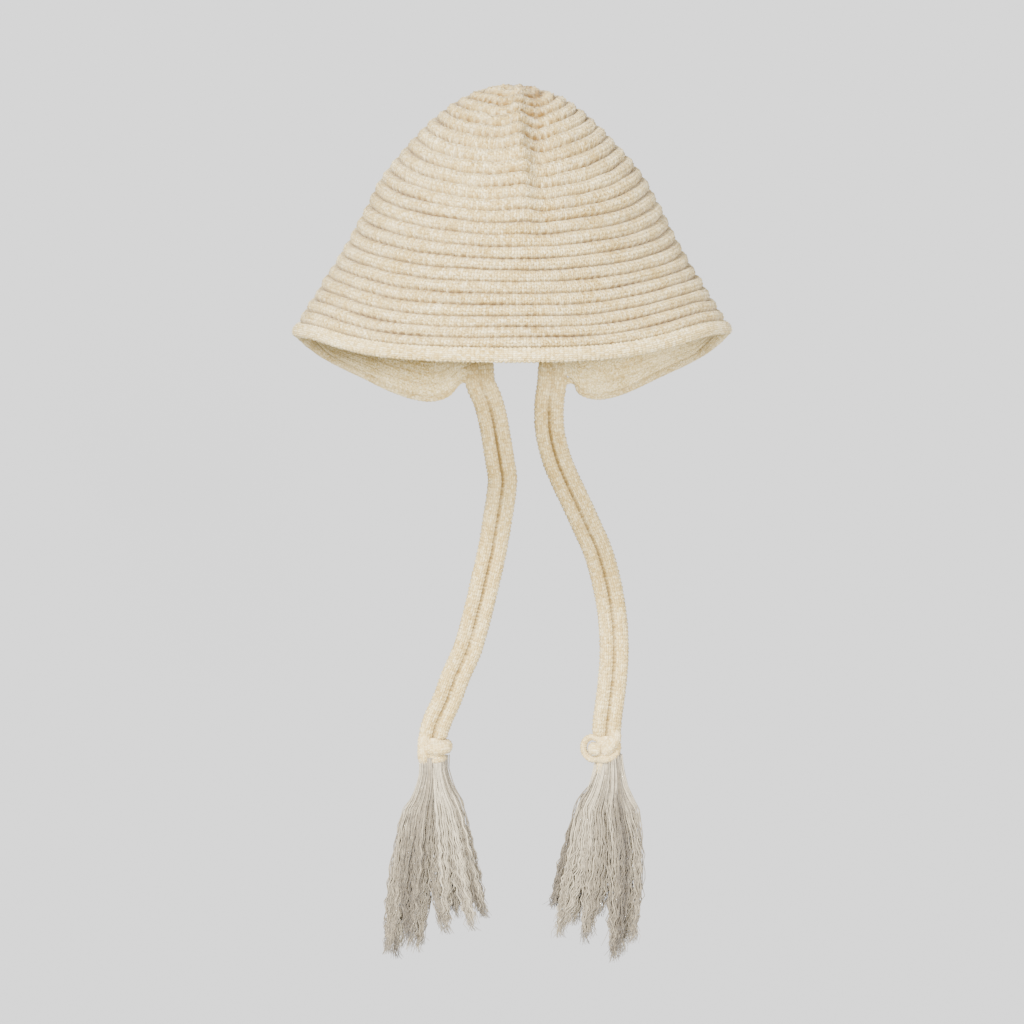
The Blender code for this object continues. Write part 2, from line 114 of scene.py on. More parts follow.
def makeCotton(name, look):
    # Soft spun cotton, knitted: matt, with a faint halo of loose fibres and uneven cream tones.
    material, tree, shader = startMaterial(name)
    place = addNode(tree, "ShaderNodeTexCoord")
    lay = addNode(tree, "ShaderNodeUVMap", uv_map="stitch")
    # the groove marks are painted shade: how far each point is darkened towards the groove colour
    groove = addNode(tree, "ShaderNodeAttribute", attribute_name="groove", attribute_type="GEOMETRY")
    broad = addNode(tree, "ShaderNodeTexNoise", {"Vector": (place, "Object"), "Scale": 55.0, "Detail": 3.0})
    strokes = addNode(
        tree, "ShaderNodeMapping", {"Vector": (lay, "UV"), "Rotation": (0, 0, 0.6), "Scale": (1.25, 0.75, 1.0)},
    )
    mottle = addNode(
        tree, "ShaderNodeTexNoise", {"Vector": (strokes, "Vector"), "Scale": 2.0, "Detail": 3.0, "Roughness": 0.85},
    )
    grain = addNode(
        tree, "ShaderNodeTexNoise",
        {"Vector": (place, "Object"), "Scale": look["grainScale"], "Detail": 3.0, "Roughness": 0.75},
    )
    both = addNode(tree, "ShaderNodeMix", {"Factor": 0.62, 2: (mottle, "Fac"), 3: (grain, "Fac")}, data_type="FLOAT")
    # every leg of yarn has its own tone
    whole = addNode(tree, "ShaderNodeVectorMath", {0: (lay, "UV")}, operation="FLOOR")
    chance = addNode(tree, "ShaderNodeTexWhiteNoise", {"Vector": (whole, "Vector")}, noise_dimensions="2D")
    speckle = addNode(
        tree, "ShaderNodeMix", {"Factor": 0.13, 2: (both, 0), 3: (chance, "Value")}, data_type="FLOAT",
    )
    tones = rampStops(
        addNode(tree, "ShaderNodeValToRGB", {"Fac": (speckle, 0)}),
        ((0.37, look["shade"]), (0.48, look["crest"]), (0.59, look["light"])),
    )
    drift = rampStops(
        addNode(tree, "ShaderNodeValToRGB", {"Fac": (broad, "Fac")}),
        ((0.35, look["shade"]), (0.62, look["light"])),
    )
    blend = addNode(
        tree, "ShaderNodeMix", {"Factor": 0.20, 6: (tones, "Color"), 7: (drift, "Color")}, data_type="RGBA",
    )
    # painted shade: the groove colour is mixed in as far as the groove marks say, in grooves, gaps and hollows
    shadedTones = addNode(
        tree, "ShaderNodeMix",
        {"Factor": (groove, "Fac"), 6: (blend, 2), 7: toLinear(look["groove"])}, data_type="RGBA",
    )
    # fibres: fine strokes that run along each leg of yarn
    turnLay = addNode(tree, "ShaderNodeMapping", {"Vector": (lay, "UV"), "Scale": (3.2, 1.1, 1.0)})
    fibre = addNode(tree, "ShaderNodeTexNoise", {"Vector": (turnLay, "Vector"), "Scale": 2.4, "Detail": 5.0})
    lint = addNode(tree, "ShaderNodeTexNoise", {"Vector": (place, "Object"), "Scale": 1500.0, "Detail": 2.0})
    rough = addNode(
        tree, "ShaderNodeMix", {"Factor": 0.45, 2: (fibre, "Fac"), 3: (lint, "Fac")}, data_type="FLOAT",
    )
    bump = addNode(tree, "ShaderNodeBump", {"Height": (rough, 0), "Strength": 0.8, "Distance": 0.0008})
    finishCloth(tree, shader, look, shadedTones.outputs[2], bump)
    return material


fringeLook = {
    "strand": "#7F735D",      # undyed yarn; its strands are made darker towards their tips
    "bright": "#B8AC92",
    "dull": "#463C2D",
    "roughness": 0.80,
    "sheen": 0.20,
    "sheenRoughness": 0.5,
}


def makeFringe(name, look):
    # Loose combed cotton yarn: dull greyish beige, each strand a little different.
    material, tree, shader = startMaterial(name)
    place = addNode(tree, "ShaderNodeTexCoord")
    tone = addNode(tree, "ShaderNodeAttribute", attribute_name="tone", attribute_type="GEOMETRY")
    flecks = addNode(tree, "ShaderNodeTexNoise", {"Vector": (place, "Object"), "Scale": 420.0, "Detail": 3.0})
    mixed = addNode(
        tree, "ShaderNodeMix", {"Factor": 0.40, 2: (tone, "Fac"), 3: (flecks, "Fac")}, data_type="FLOAT",
    )
    tones = rampStops(
        addNode(tree, "ShaderNodeValToRGB", {"Fac": (mixed, 0)}),
        ((0.18, look["dull"]), (0.50, look["strand"]), (0.80, look["bright"])),
    )
    bump = addNode(tree, "ShaderNodeBump", {"Height": (flecks, "Fac"), "Strength": 0.35, "Distance": 0.0004})
    finishCloth(tree, shader, look, tones.outputs["Color"], bump)
    return material


# Camera, light and floor

studio = {
    "lookAt": (0.0, 0.0, -0.270),
    "distance": 2.0,
    "elevation": 12.0,
    "lens": 108.18,
    "floorLevel": -1.60,
    "floorHalf": 60.0,
    "floorColour": "#B8B8B8",
    "skyStrength": 0.95,
    # name, strength, how wide the light is and how it is turned, in degrees
    "lamps": (
        ("key", 10.3, 11.0, (52.0, 0.0, -34.0)),
        ("fill", 8.1, 5.0, (79.0, 0.0, 8.0)),
    ),
}


def makeStudio():
    rise = math.radians(studio["elevation"])
    aim = Vector(studio["lookAt"])
    back = Vector((0, -math.cos(rise), math.sin(rise)))
    camera = bpy.data.objects.new("camera", bpy.data.cameras.new("camera"))
    bpy.context.scene.collection.objects.link(camera)
    camera.data.lens = studio["lens"]
    camera.data.sensor_width = 36.0
    camera.location = aim + back * studio["distance"]
    camera.rotation_euler = (-back).to_track_quat("-Z", "Y").to_euler()
    bpy.context.scene.camera = camera

    for name, strength, spread, turn in studio["lamps"]:
        lamp = bpy.data.lights.new(name, "SUN")
        lamp.energy = strength
        lamp.angle = math.radians(spread)
        holder = bpy.data.objects.new(name, lamp)
        holder.rotation_euler = [math.radians(v) for v in turn]
        bpy.context.scene.collection.objects.link(holder)

    world = bpy.data.worlds.new("studio air")
    bpy.context.scene.world = world
    world.use_nodes = True
    sky = world.node_tree.nodes["Background"]
    sky.inputs["Color"].default_value = (1.0, 1.0, 1.0, 1.0)
    sky.inputs["Strength"].default_value = studio["skyStrength"]

    half, level = studio["floorHalf"], studio["floorLevel"]
    mesh = bpy.data.meshes.new("floor")
    corners = [(x * half, y * half, level) for x, y in ((-1, -1), (1, -1), (1, 1), (-1, 1))]
    mesh.from_pydata(corners, [], [(0, 1, 2, 3)])
    floor = bpy.data.objects.new("floor", mesh)
    bpy.context.scene.collection.objects.link(floor)
    paper, tree, shader = startMaterial("studio paper, matt")
    grain = addNode(tree, "ShaderNodeTexNoise", {"Scale": 40.0, "Detail": 2.0})
    bump = addNode(tree, "ShaderNodeBump", {"Height": (grain, "Fac"), "Strength": 0.02})
    tree.links.new(bump.outputs["Normal"], shader.inputs["Normal"])
    shader.inputs["Base Color"].default_value = toLinear(studio["floorColour"])
    shader.inputs["Roughness"].default_value = 1.0
    mesh.materials.append(paper)


# Curves and tables

def readCurve(table, column, share):
    # one column of a table, read along a smooth curve through its rows
    keys = np.array([row[0] for row in table])
    values = np.array([row[column] for row in table])
    low = np.maximum(np.arange(len(keys)) - 1, 0)
    high = np.minimum(np.arange(len(keys)) + 1, len(keys) - 1)
    slopes = (values[high] - values[low]) / (keys[high] - keys[low])
    share = np.clip(share, keys[0], keys[-1])
    i = np.clip(np.searchsorted(keys, share, side="right") - 1, 0, len(keys) - 2)
    step = keys[i + 1] - keys[i]
    t = (share - keys[i]) / step
    return (
        values[i] * (2 * t**3 - 3 * t**2 + 1)
        + slopes[i] * step * (t**3 - 2 * t**2 + t)
        + values[i + 1] * (3 * t**2 - 2 * t**3)
        + slopes[i + 1] * step * (t**3 - t**2)
    )


def evenRoute(points, step):
    # points at even steps along a smooth curve through a listed route
    points = np.array(points, float)
    ends = np.vstack([points[0] * 2 - points[1], points, points[-1] * 2 - points[-2]])
    fine = []
    for k in range(len(points) - 1):
        a, b, c, d = ends[k:k + 4]
        for t in np.linspace(0, 1, 24, endpoint=False):
            square, cube = a * 2 - b * 5 + c * 4 - d, b * 3 - a - c * 3 + d
            fine.append(0.5 * (b * 2 + (c - a) * t + square * t**2 + cube * t**3))
    fine.append(points[-1])
    return evenLine(np.array(fine), step)


def runOf(line):
    # the way run along a line up to each of its points
    return np.concatenate([[0], np.cumsum(np.linalg.norm(np.diff(line, axis=0), axis=1))])


def lengthOf(line):
    return np.linalg.norm(np.diff(line, axis=0), axis=1).sum()


def evenLine(fine, step):
    run = runOf(fine)
    count = max(int(round(run[-1] / step)), 2)
    wanted = np.linspace(0, run[-1], count + 1)
    return np.stack([np.interp(wanted, run, fine[:, axis]) for axis in range(3)], axis=1)


def calmed(line, times):
    for _ in range(times):
        line[1:-1] = (line[:-2] + line[1:-1] * 2 + line[2:]) / 4
    return line


def gridPlaces(rows, columns):
    i, j = np.meshgrid(np.arange(rows), np.arange(columns), indexing="ij")
    return i.ravel(), j.ravel()


def unit(vectors):
    return vectors / np.maximum(np.linalg.norm(vectors, axis=-1, keepdims=True), 1e-12)


def clamped(values):
    return np.clip(values, 0, 1)


def hump(away, spread):
    return np.exp(-((away / spread) ** 2))


def softNoise(seed, *ways):
    # a smooth uneven field from a few waves, the same for every piece of cloth
    wave = np.random.default_rng(seed)
    total = 0.0
    for _ in range(7):
        phase = wave.uniform(0, math.tau)
        total = total + np.sin(phase + sum(np.asarray(w) * f for w, f in zip(ways, wave.normal(0, 1, len(ways)))))
    return total / 3.5


def clothNoise(seed, fineness, angle, other):
    # the same, round the crown
    return softNoise(seed, fineness * np.sin(angle), fineness * np.cos(angle), other)


# Form of the crown, as the solid has it

bell = {
    "halfWidth": 0.1372,
    "napeReach": 0.1170,
    "faceReach": 0.1200,
    "height": 0.1500,
    "wall": 0.0035,
    "relief": 0.0015,
    "courses": 24,
    "dip": 0.0110,
    "creaseOut": 0.0034,
    "creaseLift": 0.0040,
    "creaseTurn": math.radians(3.0),
    "creaseSpread": math.radians(11.0),
    "seamTurn": math.radians(1.4),
    "seamSpread": math.radians(40.0),
    "flapDrop": 0.0616,
    "shorterFlap": 0.975,
    "flapCourses": 8,
    "openingTop": 0.0929,
    "openingWidest": 0.1420,
    "openingHalfWidth": 0.0655,
    "throatHalfWidth": 0.0234,
    "throatShare": 0.815,
    # the nape's rim rises on its way to either side: height, degrees from the middle, spread in degrees
    "rimRises": ((0.0083, -62, 24), (0.0055, 64, 20)),
}

# columns: share of the way down the cloth, sideways, front and back, drop
bellTable = (
    (0.000, 0.000, 0.000, 0.000),
    (0.060, 0.093, 0.116, 0.005),
    (0.169, 0.251, 0.316, 0.059),
    (0.274, 0.385, 0.513, 0.143),
    (0.394, 0.511, 0.684, 0.269),
    (0.507, 0.616, 0.803, 0.395),
    (0.644, 0.720, 0.880, 0.565),
    (0.781, 0.822, 0.923, 0.736),
    (0.922, 0.934, 0.974, 0.908),
    (1.000, 1.000, 1.000, 1.000),
)

# columns: share of the way down the cloth, share of the dip, share of the crease
napeTable = (
    (0.00, 0.00, 0.00),
    (0.10, 0.30, 0.30),
    (0.22, 0.75, 0.90),
    (0.38, 1.00, 0.80),
    (0.56, 0.84, 0.30),
    (0.70, 0.58, 0.00),
    (0.86, 0.24, 0.00),
    (1.00, -0.16, 0.00),
)

# columns: degrees from the opening before the cloth is drawn aside, share of the flap's drop
flapTable = (
    (0, 0.815),
    (6.5, 0.812),
    (10.5, 0.940),
    (15.5, 1.000),
    (22, 0.968),
    (31, 0.848),
    (42, 0.668),
    (56, 0.468),
    (72, 0.250),
    (84, 0.075),
    (90, 0.000),
)


def rimLift(angle):
    turned = np.degrees(np.mod(angle, math.tau) - math.pi)
    return sum(height * hump(turned - place, spread) for height, place, spread in bell["rimRises"])


def creaseForm(share, side):
    # the fold at the middle of the nape: side is metres to the right of its ridge
    ridge = np.where(side < 0, hump(side, 0.0062), hump(side, 0.0050))
    hollow = hump(side - 0.0110, 0.0080)
    strength = clamped(share / 0.05) * clamped((0.62 - share) / 0.35)
    return strength * (0.0029 * ridge - 0.0021 * hollow)


def bellPoint(share, angle):
    # the crests' surface: share runs down the cloth, angle turns from +Y towards +X
    share, angle = np.broadcast_arrays(np.asarray(share, float), np.asarray(angle, float))
    fromNape = np.abs(np.mod(angle, math.tau) - math.pi)
    fromFace = math.pi - fromNape
    width = readCurve(bellTable, 1, share) * bell["halfWidth"]
    reach = readCurve(bellTable, 2, share) * np.where(np.cos(angle) > 0, bell["faceReach"], bell["napeReach"])
    drop = readCurve(bellTable, 3, share) * bell["height"]
    drop = drop + readCurve(napeTable, 1, share) * bell["dip"] * np.maximum(0, -np.cos(angle)) ** 2
    spread = fromNape / bell["creaseSpread"]
    crease = readCurve(napeTable, 2, share) * np.exp(-1.6 * spread**2)
    width = width * (1 + hump(share - 0.11, 0.09) * np.where(np.sin(angle) > 0, 0.095, 0.080))
    lift = 0.0008 * hump(share, 0.12) + rimLift(angle) * clamped((share - 0.70) / 0.30) ** 1.3
    nape = clamped(-np.cos(angle) * 2)
    fold = nape * creaseForm(share, width * np.sin(angle) - 0.0050)
    turned = angle - bell["creaseTurn"] * np.maximum(0, 1 - spread / 3)
    turned = turned + bell["seamTurn"] * np.maximum(0, 1 - fromFace / bell["seamSpread"])
    return np.stack(
        [
            width * np.sin(turned),
            reach * np.cos(turned) - crease * bell["creaseOut"] - fold,
            bell["wall"] + bell["relief"] - drop + crease * bell["creaseLift"] + fold * (1 - share) + lift,
        ],
        axis=-1,
    )


def bellNormal(share, angle):
    step = 0.004
    low = np.clip(share, step, 1 - step)
    down = bellPoint(low + step, angle) - bellPoint(low, angle)
    around = bellPoint(low + step, angle + step) - bellPoint(low + step, angle - step)
    return unit(np.cross(around, down))


def openingHalf(drop):
    rise = clamped((bell["openingWidest"] - drop) / (bell["openingWidest"] - bell["openingTop"]))
    arch = bell["openingHalfWidth"] * np.sqrt(1 - rise**2)
    throat = bell["height"] + bell["throatShare"] * bell["flapDrop"]
    fall = clamped((drop - bell["openingWidest"]) / (throat - bell["openingWidest"]))
    half = 0.5 + 0.5 * np.cos(math.pi * fall)
    neck = bell["throatHalfWidth"] + (bell["openingHalfWidth"] - bell["throatHalfWidth"]) * half
    return np.where(drop < bell["openingTop"], 0.0, np.where(drop < bell["openingWidest"], arch, neck))


def asideOf(angle):
    # how far an angle lies to either side of the face's middle
    around = np.mod(angle, math.tau)
    return np.minimum(around, math.tau - around)


def edgeAngle(share, drop):
    width = readCurve(bellTable, 1, share) * bell["halfWidth"]
    return np.arcsin(np.clip(openingHalf(drop) / np.maximum(width, 1e-6), 0, 0.99))


band = {
    "rimHeight": 0.0100,
    "rimThick": 0.0068,
    "faceHeight": 0.0080,
    "faceThick": 0.0076,
    "gap": 0.0004,
    "lap": 0.0009,            # the band sits this much further over the wall's edge than its solid
    "overHem": 0.52,          # share of the hem's height that the cloth covers on the flaps
    "thinHem": 0.72,          # the hem's thickness there, as a share of its full one
}

throatEdge = float(edgeAngle(1.0, bell["height"] + bell["throatShare"] * bell["flapDrop"]))


def flapShare(angle):
    # share of the flap's drop by the angle on the worn cloth
    turn = np.clip((asideOf(angle) - throatEdge) / (1 - throatEdge / (math.pi / 2)), 0, math.pi / 2)
    share = readCurve(flapTable, 1, np.degrees(turn))
    return np.maximum(share, 0) * np.where(np.mod(angle, math.tau) < math.pi, bell["shorterFlap"], 1.0)


def flapReach(angle):
    # how far the flap's cloth runs on over the thin hem there
    share = flapShare(angle)
    return band["rimHeight"] * band["overHem"] * clamped(share * 2.6)


def flapPoint(level, angle):
    place = bellPoint(1.0, angle)
    place[..., 2] -= (flapShare(angle) * bell["flapDrop"] + flapReach(angle)) * level
    return place


def flapNormal(level, angle):
    lean = bellNormal(np.ones_like(angle), angle)
    flat = unit(lean * np.array([1, 1, 0]))
    level = (np.asarray(level) * clamped(flapShare(angle) * 4))[..., None]
    return unit(lean * (1 - level) + flat * level)


# Knitted cloth as a closed wall

triangles = {}

def dropUnused(points, faces, *others):
    used = np.zeros(len(points), bool)
    for face in faces:
        used[np.asarray(face).ravel()] = True
    index = np.cumsum(used) - 1
    return points[used], [index[np.asarray(face)] for face in faces], *(other[used] for other in others)


def bodyMesh(name, points, quads, others, layOf, marks, material, markName="groove", lines=None):
    # quads is an array of corners, others a list of short rows of corners, layOf the quads' stitch places;
    # lines holds each point's line across and along the stitches, so that the legs meet in sharp gaps
    if lines is None:
        lines = np.full((len(points), 2), -1)
    points, blocks, marks, lines = dropUnused(points, [quads] + others, marks, lines)
    quads, others = blocks[0], blocks[1:]
    corners = np.concatenate([quads.ravel()] + [o.ravel() for o in others]).astype(np.int32)
    sizes = np.concatenate([np.full(len(quads), 4)] + [np.full(len(o), o.shape[1]) for o in others]).astype(np.int32)
    starts = np.concatenate([[0], np.cumsum(sizes)[:-1]]).astype(np.int32)
    mesh = bpy.data.meshes.new(name)
    mesh.vertices.add(len(points))
    mesh.vertices.foreach_set("co", points.astype(np.float32).ravel())
    mesh.loops.add(len(corners))
    mesh.loops.foreach_set("vertex_index", corners)
    mesh.polygons.add(len(sizes))
    mesh.polygons.foreach_set("loop_start", starts)
    mesh.update(calc_edges=True)
    lay = mesh.uv_layers.new(name="stitch")
    flat = np.zeros((len(corners), 2), np.float32)
    flat[:layOf.reshape(-1, 2).shape[0]] = layOf.reshape(-1, 2)
    lay.data.foreach_set("uv", flat.ravel())
    mark = mesh.attributes.new(markName, "FLOAT", "POINT")
    mark.data.foreach_set("value", marks.astype(np.float32))
    mesh.shade_smooth()
    ends = np.empty(len(mesh.edges) * 2, np.int32)
    mesh.edges.foreach_get("vertices", ends)
    row, column = (lines[ends.reshape(-1, 2), k] for k in (0, 1))
    real = (row >= 0).all(axis=1)
    gap = (column[:, 0] == column[:, 1]) & (column[:, 0] % 2 == 0)
    gap |= (row[:, 0] == row[:, 1]) & (row[:, 0] % 3 == 0)
    sharp = mesh.attributes.new("sharp_edge", "BOOLEAN", "EDGE")
    sharp.data.foreach_set("value", real & gap)
    mesh.materials.append(material)
    piece = bpy.data.objects.new(name, mesh)
    bpy.context.scene.collection.objects.link(piece)
    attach(piece, "root")
    triangles[name] = int((sizes - 2).sum())
    return piece


def clothWall(name, outer, inner, keep, wrap, outerMarks, innerMarks, material, ratio, fineLines=False):
    # outer and inner are grids of points, keep says which stitches exist,
    # and ratio how many outer cells make an inner one
    byRow, byLeg = ratio
    rows, legs = keep.shape
    height, width = outer.shape[:2]
    innerWidth = inner.shape[1]

    def outerAt(i, j):
        return i * width + (j % width if wrap else j)

    def innerAt(i, j):
        return height * width + i * innerWidth + (j % innerWidth if wrap else j)

    fine = np.repeat(np.repeat(keep, byRow, 0), byLeg, 1)
    i, j = np.nonzero(fine)
    quads = np.stack([outerAt(i, j), outerAt(i, j + 1), outerAt(i + 1, j + 1), outerAt(i + 1, j)], 1)
    layU = np.stack([j, j + 1, j + 1, j], 1) / byLeg
    layV = np.stack([i, i, i + 1, i + 1], 1) / byRow
    r, k = np.nonzero(keep)
    inside = np.stack([innerAt(r, k), innerAt(r + 1, k), innerAt(r + 1, k + 1), innerAt(r, k + 1)], 1)
    insideU = np.stack([k, k, k + 1, k + 1], 1).astype(float)
    insideV = np.stack([r, r + 1, r + 1, r], 1).astype(float)
    lay = np.concatenate([np.stack([layU, layV], -1), np.stack([insideU, insideV], -1)])
    quads = np.concatenate([quads, inside])

    padded = np.zeros((rows + 2, legs + 2), bool)
    padded[1:-1, 1:-1] = keep
    if wrap:
        padded[1:-1, 0], padded[1:-1, -1] = keep[:, -1], keep[:, 0]
    # the wall's rim is closed wherever a stitch has no neighbour: above, below, to one side and to the other
    sides = []
    for beside, first, turn in (
        (padded[:-2, 1:-1], (0, 1), (0, -1)),
        (padded[2:, 1:-1], (1, 0), (0, 1)),
        (padded[1:-1, :-2], (0, 0), (1, 0)),
        (padded[1:-1, 2:], (1, 1), (-1, 0)),
    ):
        r, k = np.nonzero(keep & ~beside)
        r, k = r + first[0], k + first[1]
        steps = byRow if turn[0] else byLeg
        chain = [outerAt(r * byRow + turn[0] * s, k * byLeg + turn[1] * s) for s in range(steps + 1)]
        sides.append(np.stack([*chain, innerAt(r + turn[0], k + turn[1]), innerAt(r, k)], 1))
    points = np.concatenate([outer.reshape(-1, 3), inner.reshape(-1, 3)])
    marks = np.concatenate([outerMarks.ravel(), innerMarks.ravel()])
    lines = np.full((len(points), 2), -1)
    if byRow == 3 or fineLines:
        lines[:height * width] = np.stack(gridPlaces(height, width), 1)
    if fineLines:
        lines[height * width:] = lines[:height * width]
    return bodyMesh(name, points, quads, [s for s in sides if len(s)], lay, marks, material, lines=lines)


def weltProfile(along):
    # how far a course stands out, from its lower groove, 0, to its crest, 1
    return np.abs(np.sin(math.pi * along)) ** 0.90


def dotted(row, column):
    # the painted shade in the grooves is darker at every few stitches, and fades and returns
    drift = 0.86 + 0.32 * softNoise(21, 0.045 * column, 2.3 * row)
    beat = 0.78 + 0.22 * np.cos(math.tau * (column / 2 / stitch["dots"] + 0.37 * row))
    return np.clip(drift * beat + 0.14 * dice.normal(0, 1, np.broadcast(row, column).shape), 0.1, 1.15)


def gapShade(height):
    # legs of yarn are darker where they meet
    return clamped(-height / stitch["legDepth"]) * 0.66


def legForm(rows, columns):
    # height of the legs of yarn and how far they lean, on a grid of three lines a row and two a leg
    i = np.arange(rows)[:, None]
    j = np.arange(columns)[None, :]
    crest = (j % 2 == 1).astype(float)
    between = (i % 3 == 0).astype(float)
    height = -stitch["legDepth"] * (1 - crest) - 0.75 * stitch["legDepth"] * crest * between
    way = np.where((j // 2) % 2 == 0, 1.0, -1.0)
    lean = crest * way * np.where(i % 3 == 1, -1.0, np.where(i % 3 == 2, 1.0, 0.0)) * stitch["slant"]
    height = height + stitch["jitter"] * dice.normal(0, 1, (rows, columns)) * (0.4 + 0.6 * crest)
    lean = lean + 0.10 * dice.normal(0, 1, (rows, columns)) * crest
    return height, lean


def edgedLegs(rows, columns):
    # the same for a piece of cloth, whose first and last lines are straight and lie low
    height, lean = legForm(rows, columns)
    height[[0, -1]] = -stitch["legDepth"]
    lean[[0, -1]] = 0.0
    return height, lean


def waveShare(share, angle):
    # the courses wander a little, as handwork does
    calm = clamped(share * 12) * clamped((1 - share) * 24)
    wander = 0.0032 * clothNoise(3, 2.6, angle, 16 * share)
    wander = wander + 0.0013 * clothNoise(4, 15, angle, 60 * share)
    return share + calm * wander


def bodyBumps(share, angle):
    # slow swellings of the cloth, in metres
    slow = 0.0009 * clothNoise(5, 4.0, angle, 9 * share)
    return slow + 0.0003 * clothNoise(6, 17, angle, 50 * share)


crownLook = {
    "groups": ((0, 2), (2, 5), (5, 9), (9, 13), (13, 17), (17, 21), (21, 24)),
    "grooveDepth": 0.0013,    # the groove's bottom below the solid's
    "tuck": 0.0022,           # how far the cloth reaches in under the face band
    "tipShare": 0.006,
    "edgeRadius": 0.12,       # the crown's own, near the face opening
    "edgeReach": 0.006,       # the welts flatten over this way beside the opening
}


def besideOpening(aside, edge):
    # 0 at the edge of the face opening, 1 where the welts stand full
    return np.where(
        edge > 0, clamped((aside - edge) * crownLook["edgeRadius"] / crownLook["edgeReach"]), 1.0,
    )


def belowCrest(welt, grooves=1.0):
    # how far the cloth lies below its crests, in metres
    return bell["relief"] * (1 - welt) + crownLook["grooveDepth"] * (1 - clamped(welt * 1.7)) * grooves


def crownCourses(first, last, material):
    courses = bell["courses"]
    perCourse = stitch["rowsPerCourse"]
    middle = (first + last) / 2 / courses
    ring = bellPoint(np.full(181, middle), np.linspace(0, math.tau, 181))
    legs = max(2 * int(round(lengthOf(ring) / stitch["legWidth"] / 2)), 20)
    rows = (last - first) * perCourse
    start = first / courses if first else crownLook["tipShare"]
    share = start + (last / courses - start) * np.arange(3 * rows + 1) / (3 * rows)
    course = share * courses
    column = np.arange(2 * legs)
    height, lean = edgedLegs(len(share), len(column))
    angle = (column[None, :] + lean * 2) / (2 * legs) * math.tau
    drop = readCurve(bellTable, 3, share) * bell["height"]
    edge = edgeAngle(share, drop)[:, None]
    nearEdge = besideOpening(asideOf(angle), edge)
    along = np.mod(course, 1.0)[:, None]
    along = np.where(np.isclose(along, 1.0), 0.0, along)
    welt = weltProfile(along) * nearEdge
    welt = welt * (0.92 + 0.10 * clothNoise(9, 5, angle, 30 * np.floor(course)[:, None]))
    waved = waveShare(share[:, None], angle)
    normal = bellNormal(waved, angle)
    standing = height * (0.35 + 0.65 * nearEdge) - belowCrest(welt) + bodyBumps(waved, angle)
    outer = bellPoint(waved, angle) + normal * standing[..., None]
    # painted shade: the grooves between welts are darkened, the lower the cloth lies the darker
    marks = clamped(1 - welt) ** 0.64 * dotted(np.round(course)[:, None], column[None, :])
    # painted shade in the hollow beside the fold, and round the top, where less light falls
    beside = hump(outer[..., 0] - 0.0150, 0.0055) * (np.cos(angle) < 0)
    marks = marks + 0.34 * beside * clamped((0.42 - share) / 0.25)[:, None]
    marks = marks + 0.34 * hump(share, 0.18)[:, None]
    marks = np.maximum(clamped(marks), gapShade(height))

    coarseShare = share[::3]
    coarseAngle = np.arange(legs)[None, :] / legs * math.tau
    coarseWelt = weltProfile(np.mod(np.round(coarseShare * courses * 3) / 3, 1.0))[:, None]
    coarseWelt = coarseWelt * besideOpening(asideOf(coarseAngle), edge[::3])
    waved = waveShare(coarseShare[:, None], coarseAngle)
    normal = bellNormal(waved, coarseAngle)
    depth = bell["relief"] + bell["wall"] + bell["relief"] * coarseWelt
    depth = depth * np.clip(coarseShare * 30, 0.75, 1)[:, None]
    inner = bellPoint(waved, coarseAngle) - normal * (depth - bodyBumps(waved, coarseAngle))[..., None]
    # painted shade in the grooves on the inside
    innerMarks = clamped(1 - coarseWelt) ** 1.4

    cellShare = (coarseShare[:-1] + coarseShare[1:]) / 2
    cellAngle = (np.arange(legs) + 0.5) / legs * math.tau
    cellDrop = readCurve(bellTable, 3, cellShare) * bell["height"]
    cellWidth = np.maximum(readCurve(bellTable, 1, cellShare) * bell["halfWidth"], 1e-4)
    cellEdge = edgeAngle(cellShare, cellDrop) - crownLook["tuck"] / cellWidth
    keep = asideOf(cellAngle)[None, :] >= cellEdge[:, None]
    name = f"crown_courses_{first + 1}_{last}"
    piece = clothWall(name, outer, inner, keep, True, marks, innerMarks, material, (3, 2))
    if first == 0:
        closeTip(piece, legs)
    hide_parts("crown")
    return piece


def closeTip(piece, legs):
    # the tip's small round hole is drawn in: its outer ring shrinks to a quarter of its width
    mesh = piece.data
    count = 2 * legs
    top = np.array([mesh.vertices[k].co[:] for k in range(count)]).mean(axis=0)
    for k in range(count):
        point = mesh.vertices[k].co
        mesh.vertices[k].co = Vector(top) + (point - Vector(top)) * 0.25


